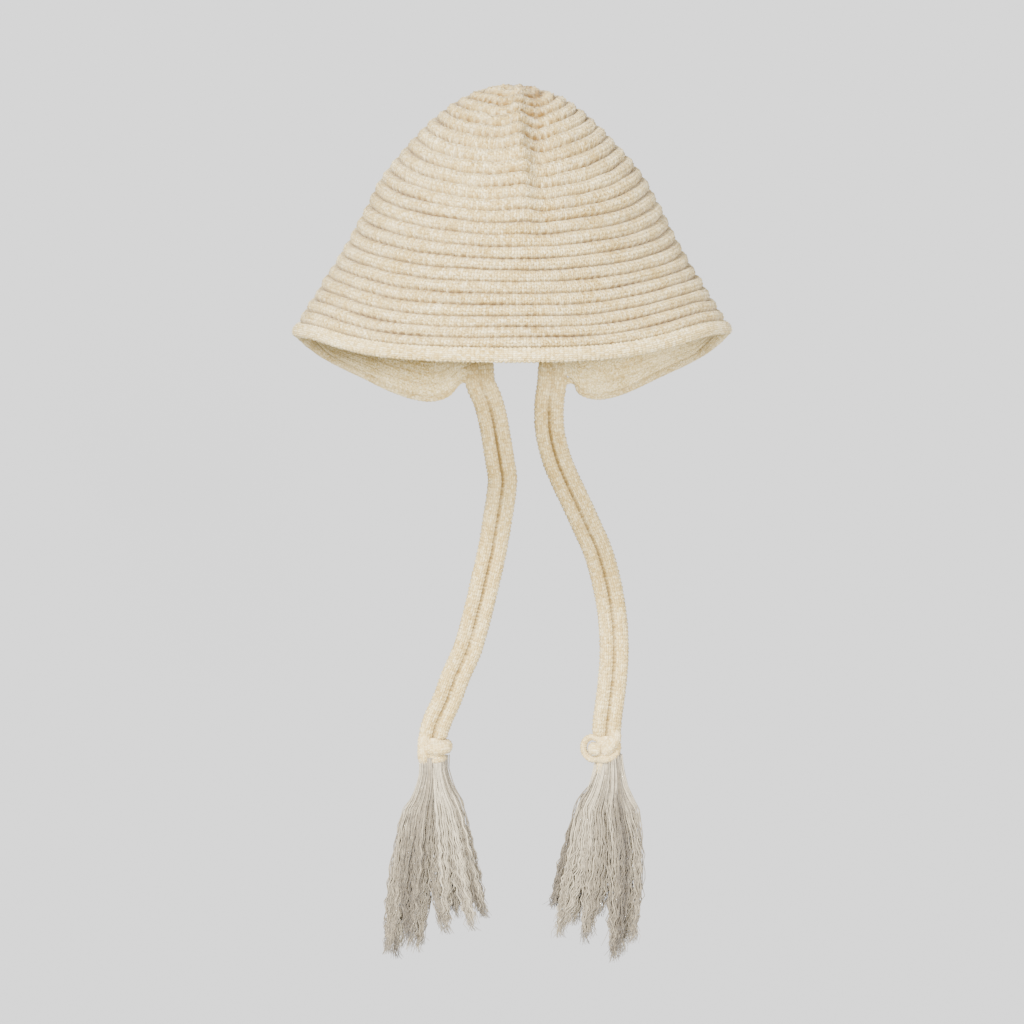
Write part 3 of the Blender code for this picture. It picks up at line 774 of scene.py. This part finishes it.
def makeFlap(side, material):
    perCourse = stitch["rowsPerCourse"]
    span = math.pi / 2
    arc = flapPoint(0.0, np.linspace(0, span, 181))
    legs = 2 * int(round(lengthOf(arc) / stitch["legWidth"] / 2))
    rows = bell["flapCourses"] * perCourse
    level = np.arange(3 * rows + 1) / (3 * rows)
    column = np.arange(2 * legs + 1)
    height, lean = edgedLegs(len(level), len(column))
    lean[:, [0, -1]] = 0.0
    angle = (column[None, :] + lean * 2) / (2 * legs) * span
    drop = bell["height"] + bell["throatShare"] * bell["flapDrop"] * level
    edge = edgeAngle(1.0, drop)[:, None]
    nearEdge = besideOpening(angle, edge)
    turned = angle if side == "right" else math.tau - angle
    tall = flapShare(turned) * bell["flapDrop"]
    thin = clamped(tall / (rows * stitch["rowHeight"]))
    course = level * bell["flapCourses"]
    along = np.mod(np.round(course * 9) / 9, 1.0)[:, None]
    welt = weltProfile(along) * nearEdge * np.sqrt(thin)
    levels = np.broadcast_to(level[:, None], turned.shape)
    normal = flapNormal(levels, turned)
    crest = flapPoint(levels, turned)
    bumps = bodyBumps(1.0, turned) * (1 - levels) + 0.0006 * levels * softNoise(11, 9 * turned, 3 * levels)
    thinLegs = height * np.clip(thin * 1.4, 0.1, 1) * (0.35 + 0.65 * nearEdge)
    outer = crest + normal * (thinLegs - belowCrest(welt, np.sqrt(thin)) + bumps)[..., None]
    depth = bell["relief"] + bell["wall"] + bell["relief"] * (0.25 + 0.55 * welt) - bumps
    inner = crest - normal * (depth + thinLegs)[..., None]
    # painted shade in the grooves between welts and between legs, outside and, fainter, inside
    marks = clamped(1 - welt) ** 1.5 * np.sqrt(thin) * nearEdge
    marks = marks * dotted(np.round(course)[:, None], column[None, :])
    outerMarks = np.maximum(clamped(marks), gapShade(height))
    innerMarks = np.maximum(clamped(marks * 0.45), gapShade(height) * 0.35)
    cellLevel = (level[::3][:-1] + level[::3][1:]) / 2
    cellAngle = (np.arange(legs) + 0.5) / legs * span
    cellDrop = bell["height"] + bell["throatShare"] * bell["flapDrop"] * cellLevel
    cellEdge = edgeAngle(1.0, cellDrop) - crownLook["tuck"] / bell["halfWidth"]
    keep = cellAngle[None, :] >= cellEdge[:, None]
    keep[:, -2:] = False
    grids = (outer, inner, np.repeat(np.repeat(keep, 3, 0), 2, 1), outerMarks, innerMarks)
    if side == "left":
        grids = (grid[:, ::-1] for grid in grids)
    outer, inner, keep, outerMarks, innerMarks = grids
    piece = clothWall(f"flap_{side}", outer, inner, keep, False, outerMarks, innerMarks, material, (1, 1), True)
    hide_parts("crown")
    return piece


# Knitted bands and ties, with their stitches along them

def knitTube(name, centres, across, outline, material, grooves=None, sizes=None):
    # centres are ring centres, three to a row of stitches; across gives each ring's two directions
    side, out = across
    count = len(outline)
    height, lean = legForm(len(centres), count)
    around = np.arange(count)[None, :] + lean
    closed = np.vstack([outline, outline[:1]])
    base = np.arange(count + 1)
    wrapped = np.mod(around, count)
    px = np.interp(wrapped, base, closed[:, 0])
    py = np.interp(wrapped, base, closed[:, 1])
    ahead = np.roll(outline, -1, 0) - np.roll(outline, 1, 0)
    normals = unit(np.stack([ahead[:, 1], -ahead[:, 0]], 1))
    px = px + normals[None, :, 0] * height
    py = py + normals[None, :, 1] * height
    if sizes is not None:
        px, py = px * sizes[:, None], py * sizes[:, None]
    points = centres[:, None, :] + side[:, None, :] * px[..., None] + out[:, None, :] * py[..., None]
    rings = len(centres)
    i, j = gridPlaces(rings - 1, count)
    n = (j + 1) % count
    quads = np.stack([i * count + j, i * count + n, (i + 1) * count + n, (i + 1) * count + j], 1)
    lay = np.stack([np.stack([j, j + 1, j + 1, j], 1) / 2, np.stack([i, i, i + 1, i + 1], 1) / 3], -1)
    caps = [np.arange(count)[None, ::-1], (np.arange(count) + (rings - 1) * count)[None, :]]
    marks = gapShade(height) * 0.75
    # painted shade down the tie's groove, fading and returning along its length
    if grooves is not None:
        fade = np.clip(0.72 + 0.34 * softNoise(31, 0.05 * np.arange(rings)) + 0.10 * dice.normal(0, 1, rings), 0.2, 1)
        marks = np.maximum(marks, clamped(grooves[None, :] * fade[:, None]))
    lines = np.stack(gridPlaces(rings, count), 1)
    flat = points.reshape(-1, 3)
    a, b, c, d = (flat[quads[:, k]] for k in range(4))
    volume = np.einsum("ij,ij->i", a, np.cross(b, c)).sum() + np.einsum("ij,ij->i", a, np.cross(c, d)).sum()
    if volume < 0:
        quads = quads[:, ::-1]
        lay = lay[:, ::-1]
        caps = [cap[:, ::-1] for cap in caps]
    return bodyMesh(name, flat, quads, caps, lay, marks.ravel(), material, lines=lines)


def evenOutline(points, count):
    closed = np.vstack([points, points[:1]])
    run = runOf(closed)
    wanted = np.linspace(0, run[-1], count, endpoint=False)
    return np.stack([np.interp(wanted, run, closed[:, 0]), np.interp(wanted, run, closed[:, 1])], 1)


def ovalOutline(across, along, count):
    turn = np.linspace(0, math.tau, 240, endpoint=False)
    return evenOutline(np.stack([np.cos(turn) * across / 2, np.sin(turn) * along / 2], 1), count)


def bandAlong(edge, normals, offset, sign):
    # the band's middle line beside an edge of the wall, with its two directions
    along = unit(np.gradient(edge, axis=0))
    away = unit(np.cross(along, normals)) * sign
    centre = edge - normals * bell["wall"] / 2 + away * offset
    return centre, normals, away


def resample(line, others, step):
    run = runOf(line)
    count = max(3 * int(round(run[-1] / step / 3)), 6)
    wanted = np.linspace(0, run[-1], count + 1)
    return [np.stack([np.interp(wanted, run, values[:, axis]) for axis in range(3)], 1) for values in (line, *others)]


# the hem's ends turn up over the notch beside each tie and down into its outer rib
leftNotch = (
    (-0.0382, 0.1136, -0.2049), (-0.0354, 0.1136, -0.2025), (-0.0327, 0.1136, -0.2016),
    (-0.0296, 0.1136, -0.2032), (-0.0273, 0.1136, -0.2074), (-0.0235, 0.1140, -0.2132),
    (-0.0190, 0.1155, -0.2209),
)
rightNotch = (
    (0.0446, 0.1136, -0.2042), (0.0419, 0.1136, -0.2025), (0.0388, 0.1136, -0.2024),
    (0.0358, 0.1136, -0.2036), (0.0334, 0.1136, -0.2070), (0.0324, 0.1140, -0.2119),
    (0.0318, 0.1155, -0.2181),
)


def makeRimBand(material):
    start = math.radians(11.0)
    startAngle = throatEdge + start * (1 - throatEdge / (math.pi / 2))
    angle = np.linspace(startAngle, math.tau - startAngle, 1600)
    level = (np.abs(np.mod(angle, math.tau) - math.pi) > math.pi / 2).astype(float)
    lean = bellNormal(np.ones_like(angle), angle)
    upright = unit(lean * np.array([1, 1, 0]))
    share = clamped(flapShare(angle) * 4)[:, None]
    normals = unit(lean * (1 - share) + upright * share)
    edge = calmed(flapPoint(level, angle) - normals * bell["relief"], 30)
    tall = band["rimHeight"] - flapReach(angle)
    centre = bandAlong(edge, normals, (tall / 2 + band["gap"] - band["lap"])[:, None], -1)[0]
    low, lowThin = band["rimHeight"] * (1 - band["overHem"]), band["thinHem"]
    thin = np.interp(tall, (low, band["rimHeight"]), (lowThin, 1.0))
    right, left = (evenRoute(notch, 0.0008) for notch in (rightNotch, leftNotch))
    toFace = [np.broadcast_to((0.0, 1.0, 0.0), route.shape) for route in (right, left)]
    line = np.concatenate([right[::-1], centre, left])
    facing = np.concatenate([toFace[0], normals, toFace[1]])
    form = np.stack([
        np.concatenate([np.full(len(right), lowThin), thin, np.full(len(left), lowThin)]),
        np.concatenate([np.full(len(right), low), tall, np.full(len(left), low)]) / band["rimHeight"],
        np.zeros(len(line)),
    ], 1)
    line, facing, form = resample(line, (facing, form), 0.0008)
    line, facing, form = resample(calmed(line, 6), (facing, form), stitch["rowHeight"] / 3)
    along = unit(np.gradient(line, axis=0))
    away = -unit(np.cross(along, facing))
    out = unit(np.cross(away, along))
    outline = ovalOutline(band["rimThick"], band["rimHeight"], 36)
    piece = knitTube("rim_hem", line, (out * form[:, :1], away * form[:, 1:2]), outline, material)
    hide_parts("rim_band")
    return piece


def makeFaceBand(material):
    top = bell["openingTop"]
    fine = np.linspace(0, 1, 3000)
    drops = readCurve(bellTable, 3, fine) * bell["height"]
    first = float(np.interp(top, drops, fine))
    share = first + (1 - first) * np.linspace(0, 1, 500) ** 2
    edge = edgeAngle(share, readCurve(bellTable, 3, share) * bell["height"])
    edge[0] = 0.0
    level = np.linspace(0.004, 1.0, 250)
    lower = edgeAngle(1.0, bell["height"] + bell["throatShare"] * bell["flapDrop"] * level)
    lines, normals = [], []
    for sign in (1, -1):
        upper = bellPoint(share, edge * sign)
        upperNormal = bellNormal(share, edge * sign)
        down = flapPoint(level, lower * sign)
        downNormal = flapNormal(level, lower * sign)
        lines.append(np.concatenate([upper - upperNormal * bell["relief"], down - downNormal * bell["relief"]]))
        normals.append(np.concatenate([upperNormal, downNormal]))
    line = np.concatenate([lines[0][::-1], lines[1][1:]])
    normal = np.concatenate([normals[0][::-1], normals[1][1:]])
    line, normal = resample(line, (normal,), 0.0006)
    offset = band["faceHeight"] / 2 + band["gap"] - band["lap"]
    centre, out, away = bandAlong(calmed(line, 20), unit(normal), offset, 1)
    centre, out, away = resample(calmed(centre, 20), (out, away), stitch["rowHeight"] / 3)
    outline = ovalOutline(band["faceThick"], band["faceHeight"], 28)
    piece = knitTube("face_hem", centre, (unit(out), unit(away)), outline, material)
    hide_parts("face_band")
    return piece


tie = {
    "width": 0.0206,
    "thick": 0.0098,
    "groove": 0.0060,
    "shadeWidth": 0.0012,     # of the dark line down its middle
    "columns": 60,
    "root": 0.0140,           # how far a tie runs up inside the flap's corner
}

# middle lines of the ties, sideways and up, as in the solids
leftTie = (
    (-0.0222, -0.1962), (-0.0215, -0.2050), (-0.0167, -0.2160), (-0.0130, -0.2299),
    (-0.0106, -0.2438), (-0.0082, -0.2591), (-0.0065, -0.2717), (-0.0079, -0.2857),
    (-0.0103, -0.3012), (-0.0138, -0.3223), (-0.0187, -0.3443), (-0.0235, -0.3649),
    (-0.0305, -0.3906), (-0.0390, -0.4107), (-0.0453, -0.4280), (-0.0523, -0.4439),
    (-0.0552, -0.4555),
)
rightTie = (
    (0.0278, -0.1950), (0.0272, -0.2050), (0.0256, -0.2160), (0.0253, -0.2299),
    (0.0267, -0.2424), (0.0308, -0.2577), (0.0371, -0.2731), (0.0447, -0.2892),
    (0.0523, -0.3061), (0.0593, -0.3223), (0.0649, -0.3422), (0.0689, -0.3635),
    (0.0708, -0.3849), (0.0706, -0.4050), (0.0685, -0.4266), (0.0666, -0.4425),
    (0.0658, -0.4540),
)
tieDepth = float(flapPoint(1.0, np.array(throatEdge))[1] - bell["relief"] - bell["wall"] / 2)


def tieOutline():
    # two round ribs and the groove between them
    rib = tie["thick"] / 2
    centre = tie["width"] / 2 - rib
    turn = np.linspace(-math.pi / 2, math.pi / 2, 60)
    cap = np.stack([centre + rib * np.cos(turn), rib * np.sin(turn)], 1)
    x = np.linspace(centre, -centre, 80)[1:-1]
    dip = (rib - tie["groove"] / 2) * (1 - np.abs(x) / centre) ** 1.9
    top = np.stack([x, rib - dip], 1)
    half = np.vstack([cap, top])
    full = np.vstack([half, -half])
    outline = evenOutline(full, tie["columns"])
    # with it, the painted shade across the outline, darkest in the groove
    return outline, 1.15 * hump(outline[:, 0], tie["shadeWidth"])


def makeTie(side, route, material):
    # the tie runs on, drawn narrow, through its own knot
    points = [(x, tieDepth, z) for x, z in route]
    first, away = points[0], math.copysign(1.0, points[0][0])
    points = [
        (first[0] + away * 0.0060, tieDepth, first[2] + tie["root"]),
        (first[0] + away * 0.0012, tieDepth, first[2] + tie["root"] * 0.48),
    ] + points
    end = knot["height"] + knot["gap"] + 0.011
    points += [(points[-1][0], tieDepth, points[-1][2] - end * t) for t in (0.5, 1.0)]
    centres = evenRoute(points, stitch["rowHeight"] / 3)
    count = 3 * (len(centres) // 3) + 1
    centres = evenRoute(points, lengthOf(centres) / (count - 1))[:count]
    along = unit(np.gradient(centres, axis=0))
    face = np.array([0.0, -1.0, 0.0])
    across = unit(np.cross(face, along))
    outline, grooves = tieOutline()
    under = route[-1][1] - centres[:, 2]
    sizes = 1 - 0.34 * clamped(under / 0.004 + 0.6)
    above = centres[:, 2] - first[2] - tie["root"] * 0.45
    sizes = sizes * (1 - 0.38 * clamped(above / (tie["root"] * 0.5)))
    piece = knitTube(
        f"tie_{side}_knit", centres, (across, np.broadcast_to(face, across.shape)), outline, material,
        grooves=grooves, sizes=sizes,
    )
    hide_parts(f"tie_{side}")
    return piece, centres


# Knots

knot = {
    "height": 0.0165,
    "core": 0.0150,
    "gap": 0.0004,
}


def yarnTube(points, thickness, sides, startIndex, flat=1.0):
    # one strand as rings of points, with a rounded end at each tip
    points = np.asarray(points, float)
    along = unit(np.gradient(points, axis=0))
    helper = np.array([0.0, 1.0, 0.0])
    side = unit(np.cross(along, helper))
    up = np.cross(side, along)
    turn = np.arange(sides) / sides * math.tau
    radius = np.broadcast_to(np.asarray(thickness, float) / 2, (len(points),))
    rings = (
        points[:, None, :]
        + side[:, None, :] * np.cos(turn)[None, :, None] * radius[:, None, None]
        + up[:, None, :] * (np.sin(turn) * flat)[None, :, None] * radius[:, None, None]
    )
    i, j = gridPlaces(len(points) - 1, sides)
    n = (j + 1) % sides
    quads = np.stack([i * sides + j, (i + 1) * sides + j, (i + 1) * sides + n, i * sides + n], 1) + startIndex
    caps = np.stack([np.arange(sides), np.arange(sides)[::-1] + (len(points) - 1) * sides]) + startIndex
    return rings.reshape(-1, 3), quads, caps


def strandMesh(name, strands, sides, material, markName="groove", lines=None):
    # strands holds a row of points, quads, caps and marks for each of them
    points, quads, caps, marks = zip(*strands)
    quads = np.concatenate(quads)
    lay = np.stack([quads % sides / 2.0, quads // sides / 3.0], -1)
    return bodyMesh(
        name, np.concatenate(points), quads, list(caps), lay, np.concatenate(marks), material, markName, lines,
    )


def knotMesh(name, tubes, material):
    # fat turns of soft knitted yarn, their stitches running along them
    strands, lines = [], []
    start, sides = 0, 28
    for line, thickness, flat in tubes:
        rings, faces, ends = yarnTube(line, thickness, sides, start, flat)
        height = legForm(len(line), sides)[0]
        rings = rings.reshape(len(line), sides, 3)
        spokes = unit(rings - rings.mean(axis=1, keepdims=True))
        rings = (rings + spokes * height[..., None] * 0.7).reshape(-1, 3)
        strands.append((rings, faces, ends, gapShade(height).ravel() * 0.45))
        lines.append(np.stack(gridPlaces(len(line), sides), 1))
        start += len(rings)
    return strandMesh(name, strands, sides, material, lines=np.concatenate(lines))


def roundEnds(count, full, tip):
    t = np.linspace(-1, 1, count)
    return full * (tip + (1 - tip) * np.sqrt(clamped(1 - np.abs(t) ** 3.2)))


def makeKnot(side, route, material):
    x, z = route[-1]
    centre = np.array([x, tieDepth, z - knot["gap"] - knot["height"] / 2])
    tubes = []

    def addRoll(line, thickness, tip=0.6, flat=0.9):
        tubes.append((line, roundEnds(len(line), thickness, tip), flat))

    core = np.stack([np.zeros(20), np.zeros(20), np.linspace(0.55, -0.55, 20) * knot["height"]], 1) + centre
    addRoll(core, knot["core"], 0.70, 0.72)
    if side == "left":
        # the outer rib runs straight down past a fat turn of yarn that comes round from the right
        rib = np.array([
            (-0.0060, -0.0008, 0.0125), (-0.0062, -0.0022, 0.0060), (-0.0064, -0.0030, 0.0),
            (-0.0064, -0.0026, -0.0050), (-0.0058, -0.0006, -0.0092),
        ])
        addRoll(evenRoute(rib + centre, 0.0007), 0.0094)
        for lift, reach, thick in ((0.0012, 0.0114, 0.0108), (-0.0072, 0.0088, 0.0052)):
            turn = np.linspace(-2.3, 1.5, 50)
            wrap = np.stack([
                reach * np.cos(turn) * 0.62 + 0.0016, np.sin(turn) * 0.0046,
                lift + 0.0012 * np.cos(turn) - 0.0006 * turn,
            ], 1)
            addRoll(evenLine(wrap + centre, 0.0006), thick, flat=1.0)
    else:
        # a loop stands out to the left, and the outer rib folds over in front of it
        turn = np.linspace(0.35, math.tau - 0.35, 60)
        loop = np.stack([
            -0.0092 + np.cos(turn) * 0.0066, -0.0006 - 0.0022 * np.cos(turn), np.sin(turn) * 0.0080 - 0.0004,
        ], 1)
        loop = np.vstack([[(0.0020, -0.0040, 0.0062)], loop, [(0.0020, -0.0036, -0.0050)]])
        addRoll(evenLine(loop + centre, 0.0006), 0.0050, flat=1.0)
        lobe = np.array([(-0.0118, -0.0008, -0.0006), (-0.0078, -0.0030, -0.0002), (-0.0036, -0.0038, -0.0008)])
        addRoll(evenRoute(lobe + centre, 0.0005), 0.0098, 0.4, 1.0)
        fold = np.array([
            (0.0062, -0.0008, 0.0120), (0.0058, -0.0032, 0.0075), (0.0030, -0.0048, 0.0035),
            (0.0002, -0.0044, -0.0004), (-0.0012, -0.0024, -0.0036),
        ])
        addRoll(evenRoute(fold + centre, 0.0007), 0.0098)
        under = np.array([
            (0.0072, 0.0010, 0.0050), (0.0074, -0.0020, -0.0006), (0.0044, -0.0040, -0.0052),
            (-0.0020, -0.0040, -0.0072), (-0.0070, -0.0010, -0.0070),
        ])
        addRoll(evenRoute(under + centre, 0.0007), 0.0066)
    piece = knotMesh(f"knot_{side}_yarn", tubes, material)
    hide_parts(f"knot_{side}")
    return piece, centre - np.array([0, 0, knot["height"] / 2 + knot["gap"]])


# Tassels

tassel = {
    "length": 0.1415,
    "neckWidth": 0.0190,
    "neckDepth": 0.0130,
    "neckShare": 0.22,
    "lockWidth": 0.0185,
    "flatness": 0.82,
    "tufts": 4,               # small tufts in a lock
    "strands": 27,            # strands in a tuft
    "strand": 0.00066,
    "rings": 24,
    "wave": 0.0015,           # how far the kinks in the yarn swing
    "kink": 0.0115,           # from kink to kink
    "gather": 0.74,           # how far a tuft draws together at its tip
    "held": 0.08,             # share of its length that a tuft stays gathered, unless it crosses over
    "tuftOut": 0.62,          # how far the tufts stand from the middle of their lock
    "tuftSize": 0.40,
    "tuftTone": 0.16,         # how much the tufts, and then the strands, differ in tone
    "strandTone": 0.14,
}

# columns: sideways reach of the tip, towards the face, length, fullness, bow
leftLocks = (
    (-0.225, -0.030, 0.930, 0.90, -0.005),
    (-0.180, 0.040, 1.000, 0.95, -0.020),
    (-0.120, -0.060, 0.900, 1.05, -0.010),
    (-0.085, 0.050, 0.985, 0.95, 0.010),
    (0.050, -0.050, 0.830, 1.05, -0.010),
    (0.105, 0.045, 0.780, 1.00, 0.000),
    (0.190, -0.030, 0.810, 0.95, -0.020),
    (0.255, 0.025, 0.790, 0.80, -0.030),
)
rightLocks = (
    (-0.268, 0.022, 0.770, 0.87, 0.031),
    (-0.228, -0.031, 0.860, 0.97, 0.026),
    (-0.158, 0.042, 0.830, 1.02, 0.012),
    (-0.101, -0.047, 0.910, 1.08, 0.003),
    (-0.034, 0.020, 0.780, 1.22, 0.006),
    (0.043, -0.040, 0.965, 0.98, 0.016),
    (0.088, 0.038, 0.955, 0.92, 0.022),
    (0.128, -0.005, 0.900, 0.83, 0.018),
)
lockForm = (
    (0.00, 0.40),
    (0.16, 0.74),
    (0.42, 1.00),
    (0.68, 0.96),
    (0.88, 0.74),
    (1.00, 0.36),
)


def makeTassel(side, top, locks, twist, cross, material):
    length = tassel["length"]
    strands = []
    start, sides = 0, 4
    for reach, depth, share, fullness, bow in locks:
        crossed = cross if depth < 0.03 else 0.0
        root = top + np.array([reach * 0.10 + crossed, depth * 0.18, 0.028]) * length
        held = 0.0 if crossed else tassel["held"]
        tip = top + np.array([reach * 1.05, depth, -share * 1.09]) * length
        for tuft in range(tassel["tufts"]):
            around = math.tau * (tuft + dice.uniform(-0.2, 0.2)) / tassel["tufts"]
            tuftOut = tassel["tuftOut"] * dice.uniform(0.8, 1.15)
            tuftEnd = 1.0 - 0.10 * dice.random()
            tuftPhase = dice.uniform(0, math.tau)
            tuftTone = dice.normal(0, tassel["tuftTone"])
            tuftPace = dice.uniform(0.80, 1.25)
            for strand in range(tassel["strands"]):
                spot = math.sqrt((strand + 0.5) / tassel["strands"]) * tassel["tuftSize"]
                turn = strand * 2.39996 + dice.uniform(-0.3, 0.3)
                end = tuftEnd * (1.0 - 0.10 * dice.random() ** 2)
                step = np.linspace(0, end, tassel["rings"])
                spread = clamped((step - held) / (1 - held)) ** 0.64
                size = tassel["lockWidth"] * fullness * readCurve(lockForm, 1, step) / 2
                drawn = 1 - tassel["gather"] * clamped((step / end - 0.72) / 0.28) ** 1.5
                wound = around + twist * clamped(step * 2.2)
                ex = (np.cos(wound) * tuftOut + math.cos(turn) * spot) * drawn
                ey = (np.sin(wound) * tuftOut + math.sin(turn) * spot) * drawn
                x = root[0] + (tip[0] - root[0]) * spread + bow * length * np.sin(math.pi * step) + size * ex
                y = root[1] + (tip[1] - root[1]) * spread + size * ey * tassel["flatness"]
                z = root[2] + (tip[2] - root[2]) * step
                # within the neck the strands lie close together
                neck = clamped(1 - step / (tassel["neckShare"] * 1.15)) ** 0.7
                nx = top[0] + tassel["neckWidth"] * 0.47 * np.clip(reach * 2.4 + crossed * 14 + ex * 0.50, -1, 1)
                ny = top[1] + tassel["neckDepth"] * 0.47 * np.clip(depth * 9 + ey * 0.60, -1, 1)
                x = x * (1 - neck) + nx * neck
                y = y * (1 - neck) + ny * neck
                grow = clamped((step - 0.14) * 1.5)
                pace = math.tau * step * length * share / tassel["kink"] * tuftPace
                own = dice.normal(0, 1.0)
                x = x + 0.0013 * dice.normal() * np.sin(math.pi * clamped(step * 1.1 + dice.uniform(0, 0.4)))
                x = x + tassel["wave"] * grow * np.sin(pace + tuftPhase + own)
                x = x + tassel["wave"] * 0.60 * grow * np.sin(2.7 * pace + dice.uniform(0, math.tau))
                y = y + tassel["wave"] * grow * np.cos(pace * 0.9 + tuftPhase + own)
                x = x + 0.0022 * dice.normal() * clamped((step / end - 0.80) / 0.20) ** 2
                taper = np.interp(step / end, (0, 0.9, 1), (1, 0.9, 0.3))
                thick = tassel["strand"] * (1 + 0.22 * dice.normal()) * taper
                line = np.stack([x, y, z], 1)
                rings, faces, ends = yarnTube(line, np.clip(thick, 0.00022, 0.0013), sides, start)
                # each strand is made darker towards its tip
                fade = np.interp(step, (0, 0.25, 1), (0.66, 0.55, 0.24))
                tone = fade + tuftTone + dice.normal(0, tassel["strandTone"])
                strands.append((rings, faces, ends, np.repeat(clamped(tone), sides)))
                start += len(rings)
    piece = strandMesh(f"tassel_{side}_yarn", strands, sides, material, "tone")
    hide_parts(f"tassel_{side}")
    return piece


# Loose fibres

lint = {
    "fibres": 18000,
    "shortest": 0.0008,
    "longest": 0.0024,
    "thickness": 0.00010,
}


def makeLint(pieces, node, name, share, material):
    # a halo of loose fibres on the cloth, each a thin pyramid
    found = []
    for piece in pieces:
        place, facing = (np.empty(len(piece.data.vertices) * 3) for _ in range(2))
        piece.data.vertices.foreach_get("co", place)
        piece.data.vertex_normals.foreach_get("vector", facing)
        found.append((place.reshape(-1, 3), facing.reshape(-1, 3)))
    points, normals = (np.concatenate(rows) for rows in zip(*found))
    count = int(lint["fibres"] * share)
    chosen = dice.choice(len(points), count, replace=False)
    root = points[chosen] - normals[chosen] * 0.0002
    along = unit(normals[chosen] * 0.75 + unit(dice.normal(0, 1, (count, 3))) * 0.8)
    side = unit(np.cross(along, dice.normal(0, 1, (count, 3))))
    other = np.cross(along, side)
    reach = dice.uniform(lint["shortest"], lint["longest"], (count, 1))
    wide = lint["thickness"] / 2
    corners = [root + (side * math.cos(t) + other * math.sin(t)) * wide for t in (0.0, 2.0944, 4.18879)]
    body = np.stack(corners + [root + along * reach], 1).reshape(-1, 3)
    base = np.arange(count)[:, None] * 4
    faces = np.concatenate([base + np.array([k]) for k in ((0, 1, 3), (1, 2, 3), (2, 0, 3), (2, 1, 0))])
    piece = bodyMesh(
        name, body, np.zeros((0, 4), int), [faces], np.zeros((0, 4, 2)), np.zeros(len(body)), material,
    )
    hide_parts(node)
    return piece


# Everything in order: camera and cords first

makeStudio()
print("studio ready")

cotton = makeCotton("undyed cotton, knitted in rolls", cottonLook)
# their groove colours are painted shade, for grooves and the gaps between legs
cordTones = {"light": "#ECDBA8", "crest": "#CAAC66", "shade": "#A88E50", "groove": "#6A521F"}
cord = makeCotton("undyed cotton, knitted flat", {**cottonLook, **cordTones})
yarnTones = {"light": "#E6D5A4", "crest": "#C6AA6C", "shade": "#B0955A", "groove": "#745A2A"}
yarn = makeCotton("undyed cotton, knotted cord", {**cottonLook, **yarnTones})
fringe = makeFringe("undyed cotton yarn, loose", fringeLook)

for side, route, locks, twist, cross in (
    ("left", leftTie, leftLocks, 0.5, 0.0),
    ("right", rightTie, rightLocks, 2.2, 0.052),
):
    tiePiece, line = makeTie(side, route, cord)
    knotPiece, end = makeKnot(side, route, yarn)
    tasselPiece = makeTassel(side, end, locks, twist, cross, fringe)
    lintPiece = makeLint([tiePiece, knotPiece], f"tie_{side}", f"tie_{side}_lint", 0.10, cord)
print("ties, knots and tassels ready")

cloth = [crownCourses(first, last, cotton) for first, last in crownLook["groups"]]
print("crown ready")

cloth += [makeFlap(side, cotton) for side in ("left", "right")]
cloth.append(makeRimBand(cotton))
makeLint(cloth, "crown", "crown_lint", 0.80, cotton)
makeFaceBand(cotton)
print("flaps and hems ready")

print("triangles", sum(triangles.values()), triangles)
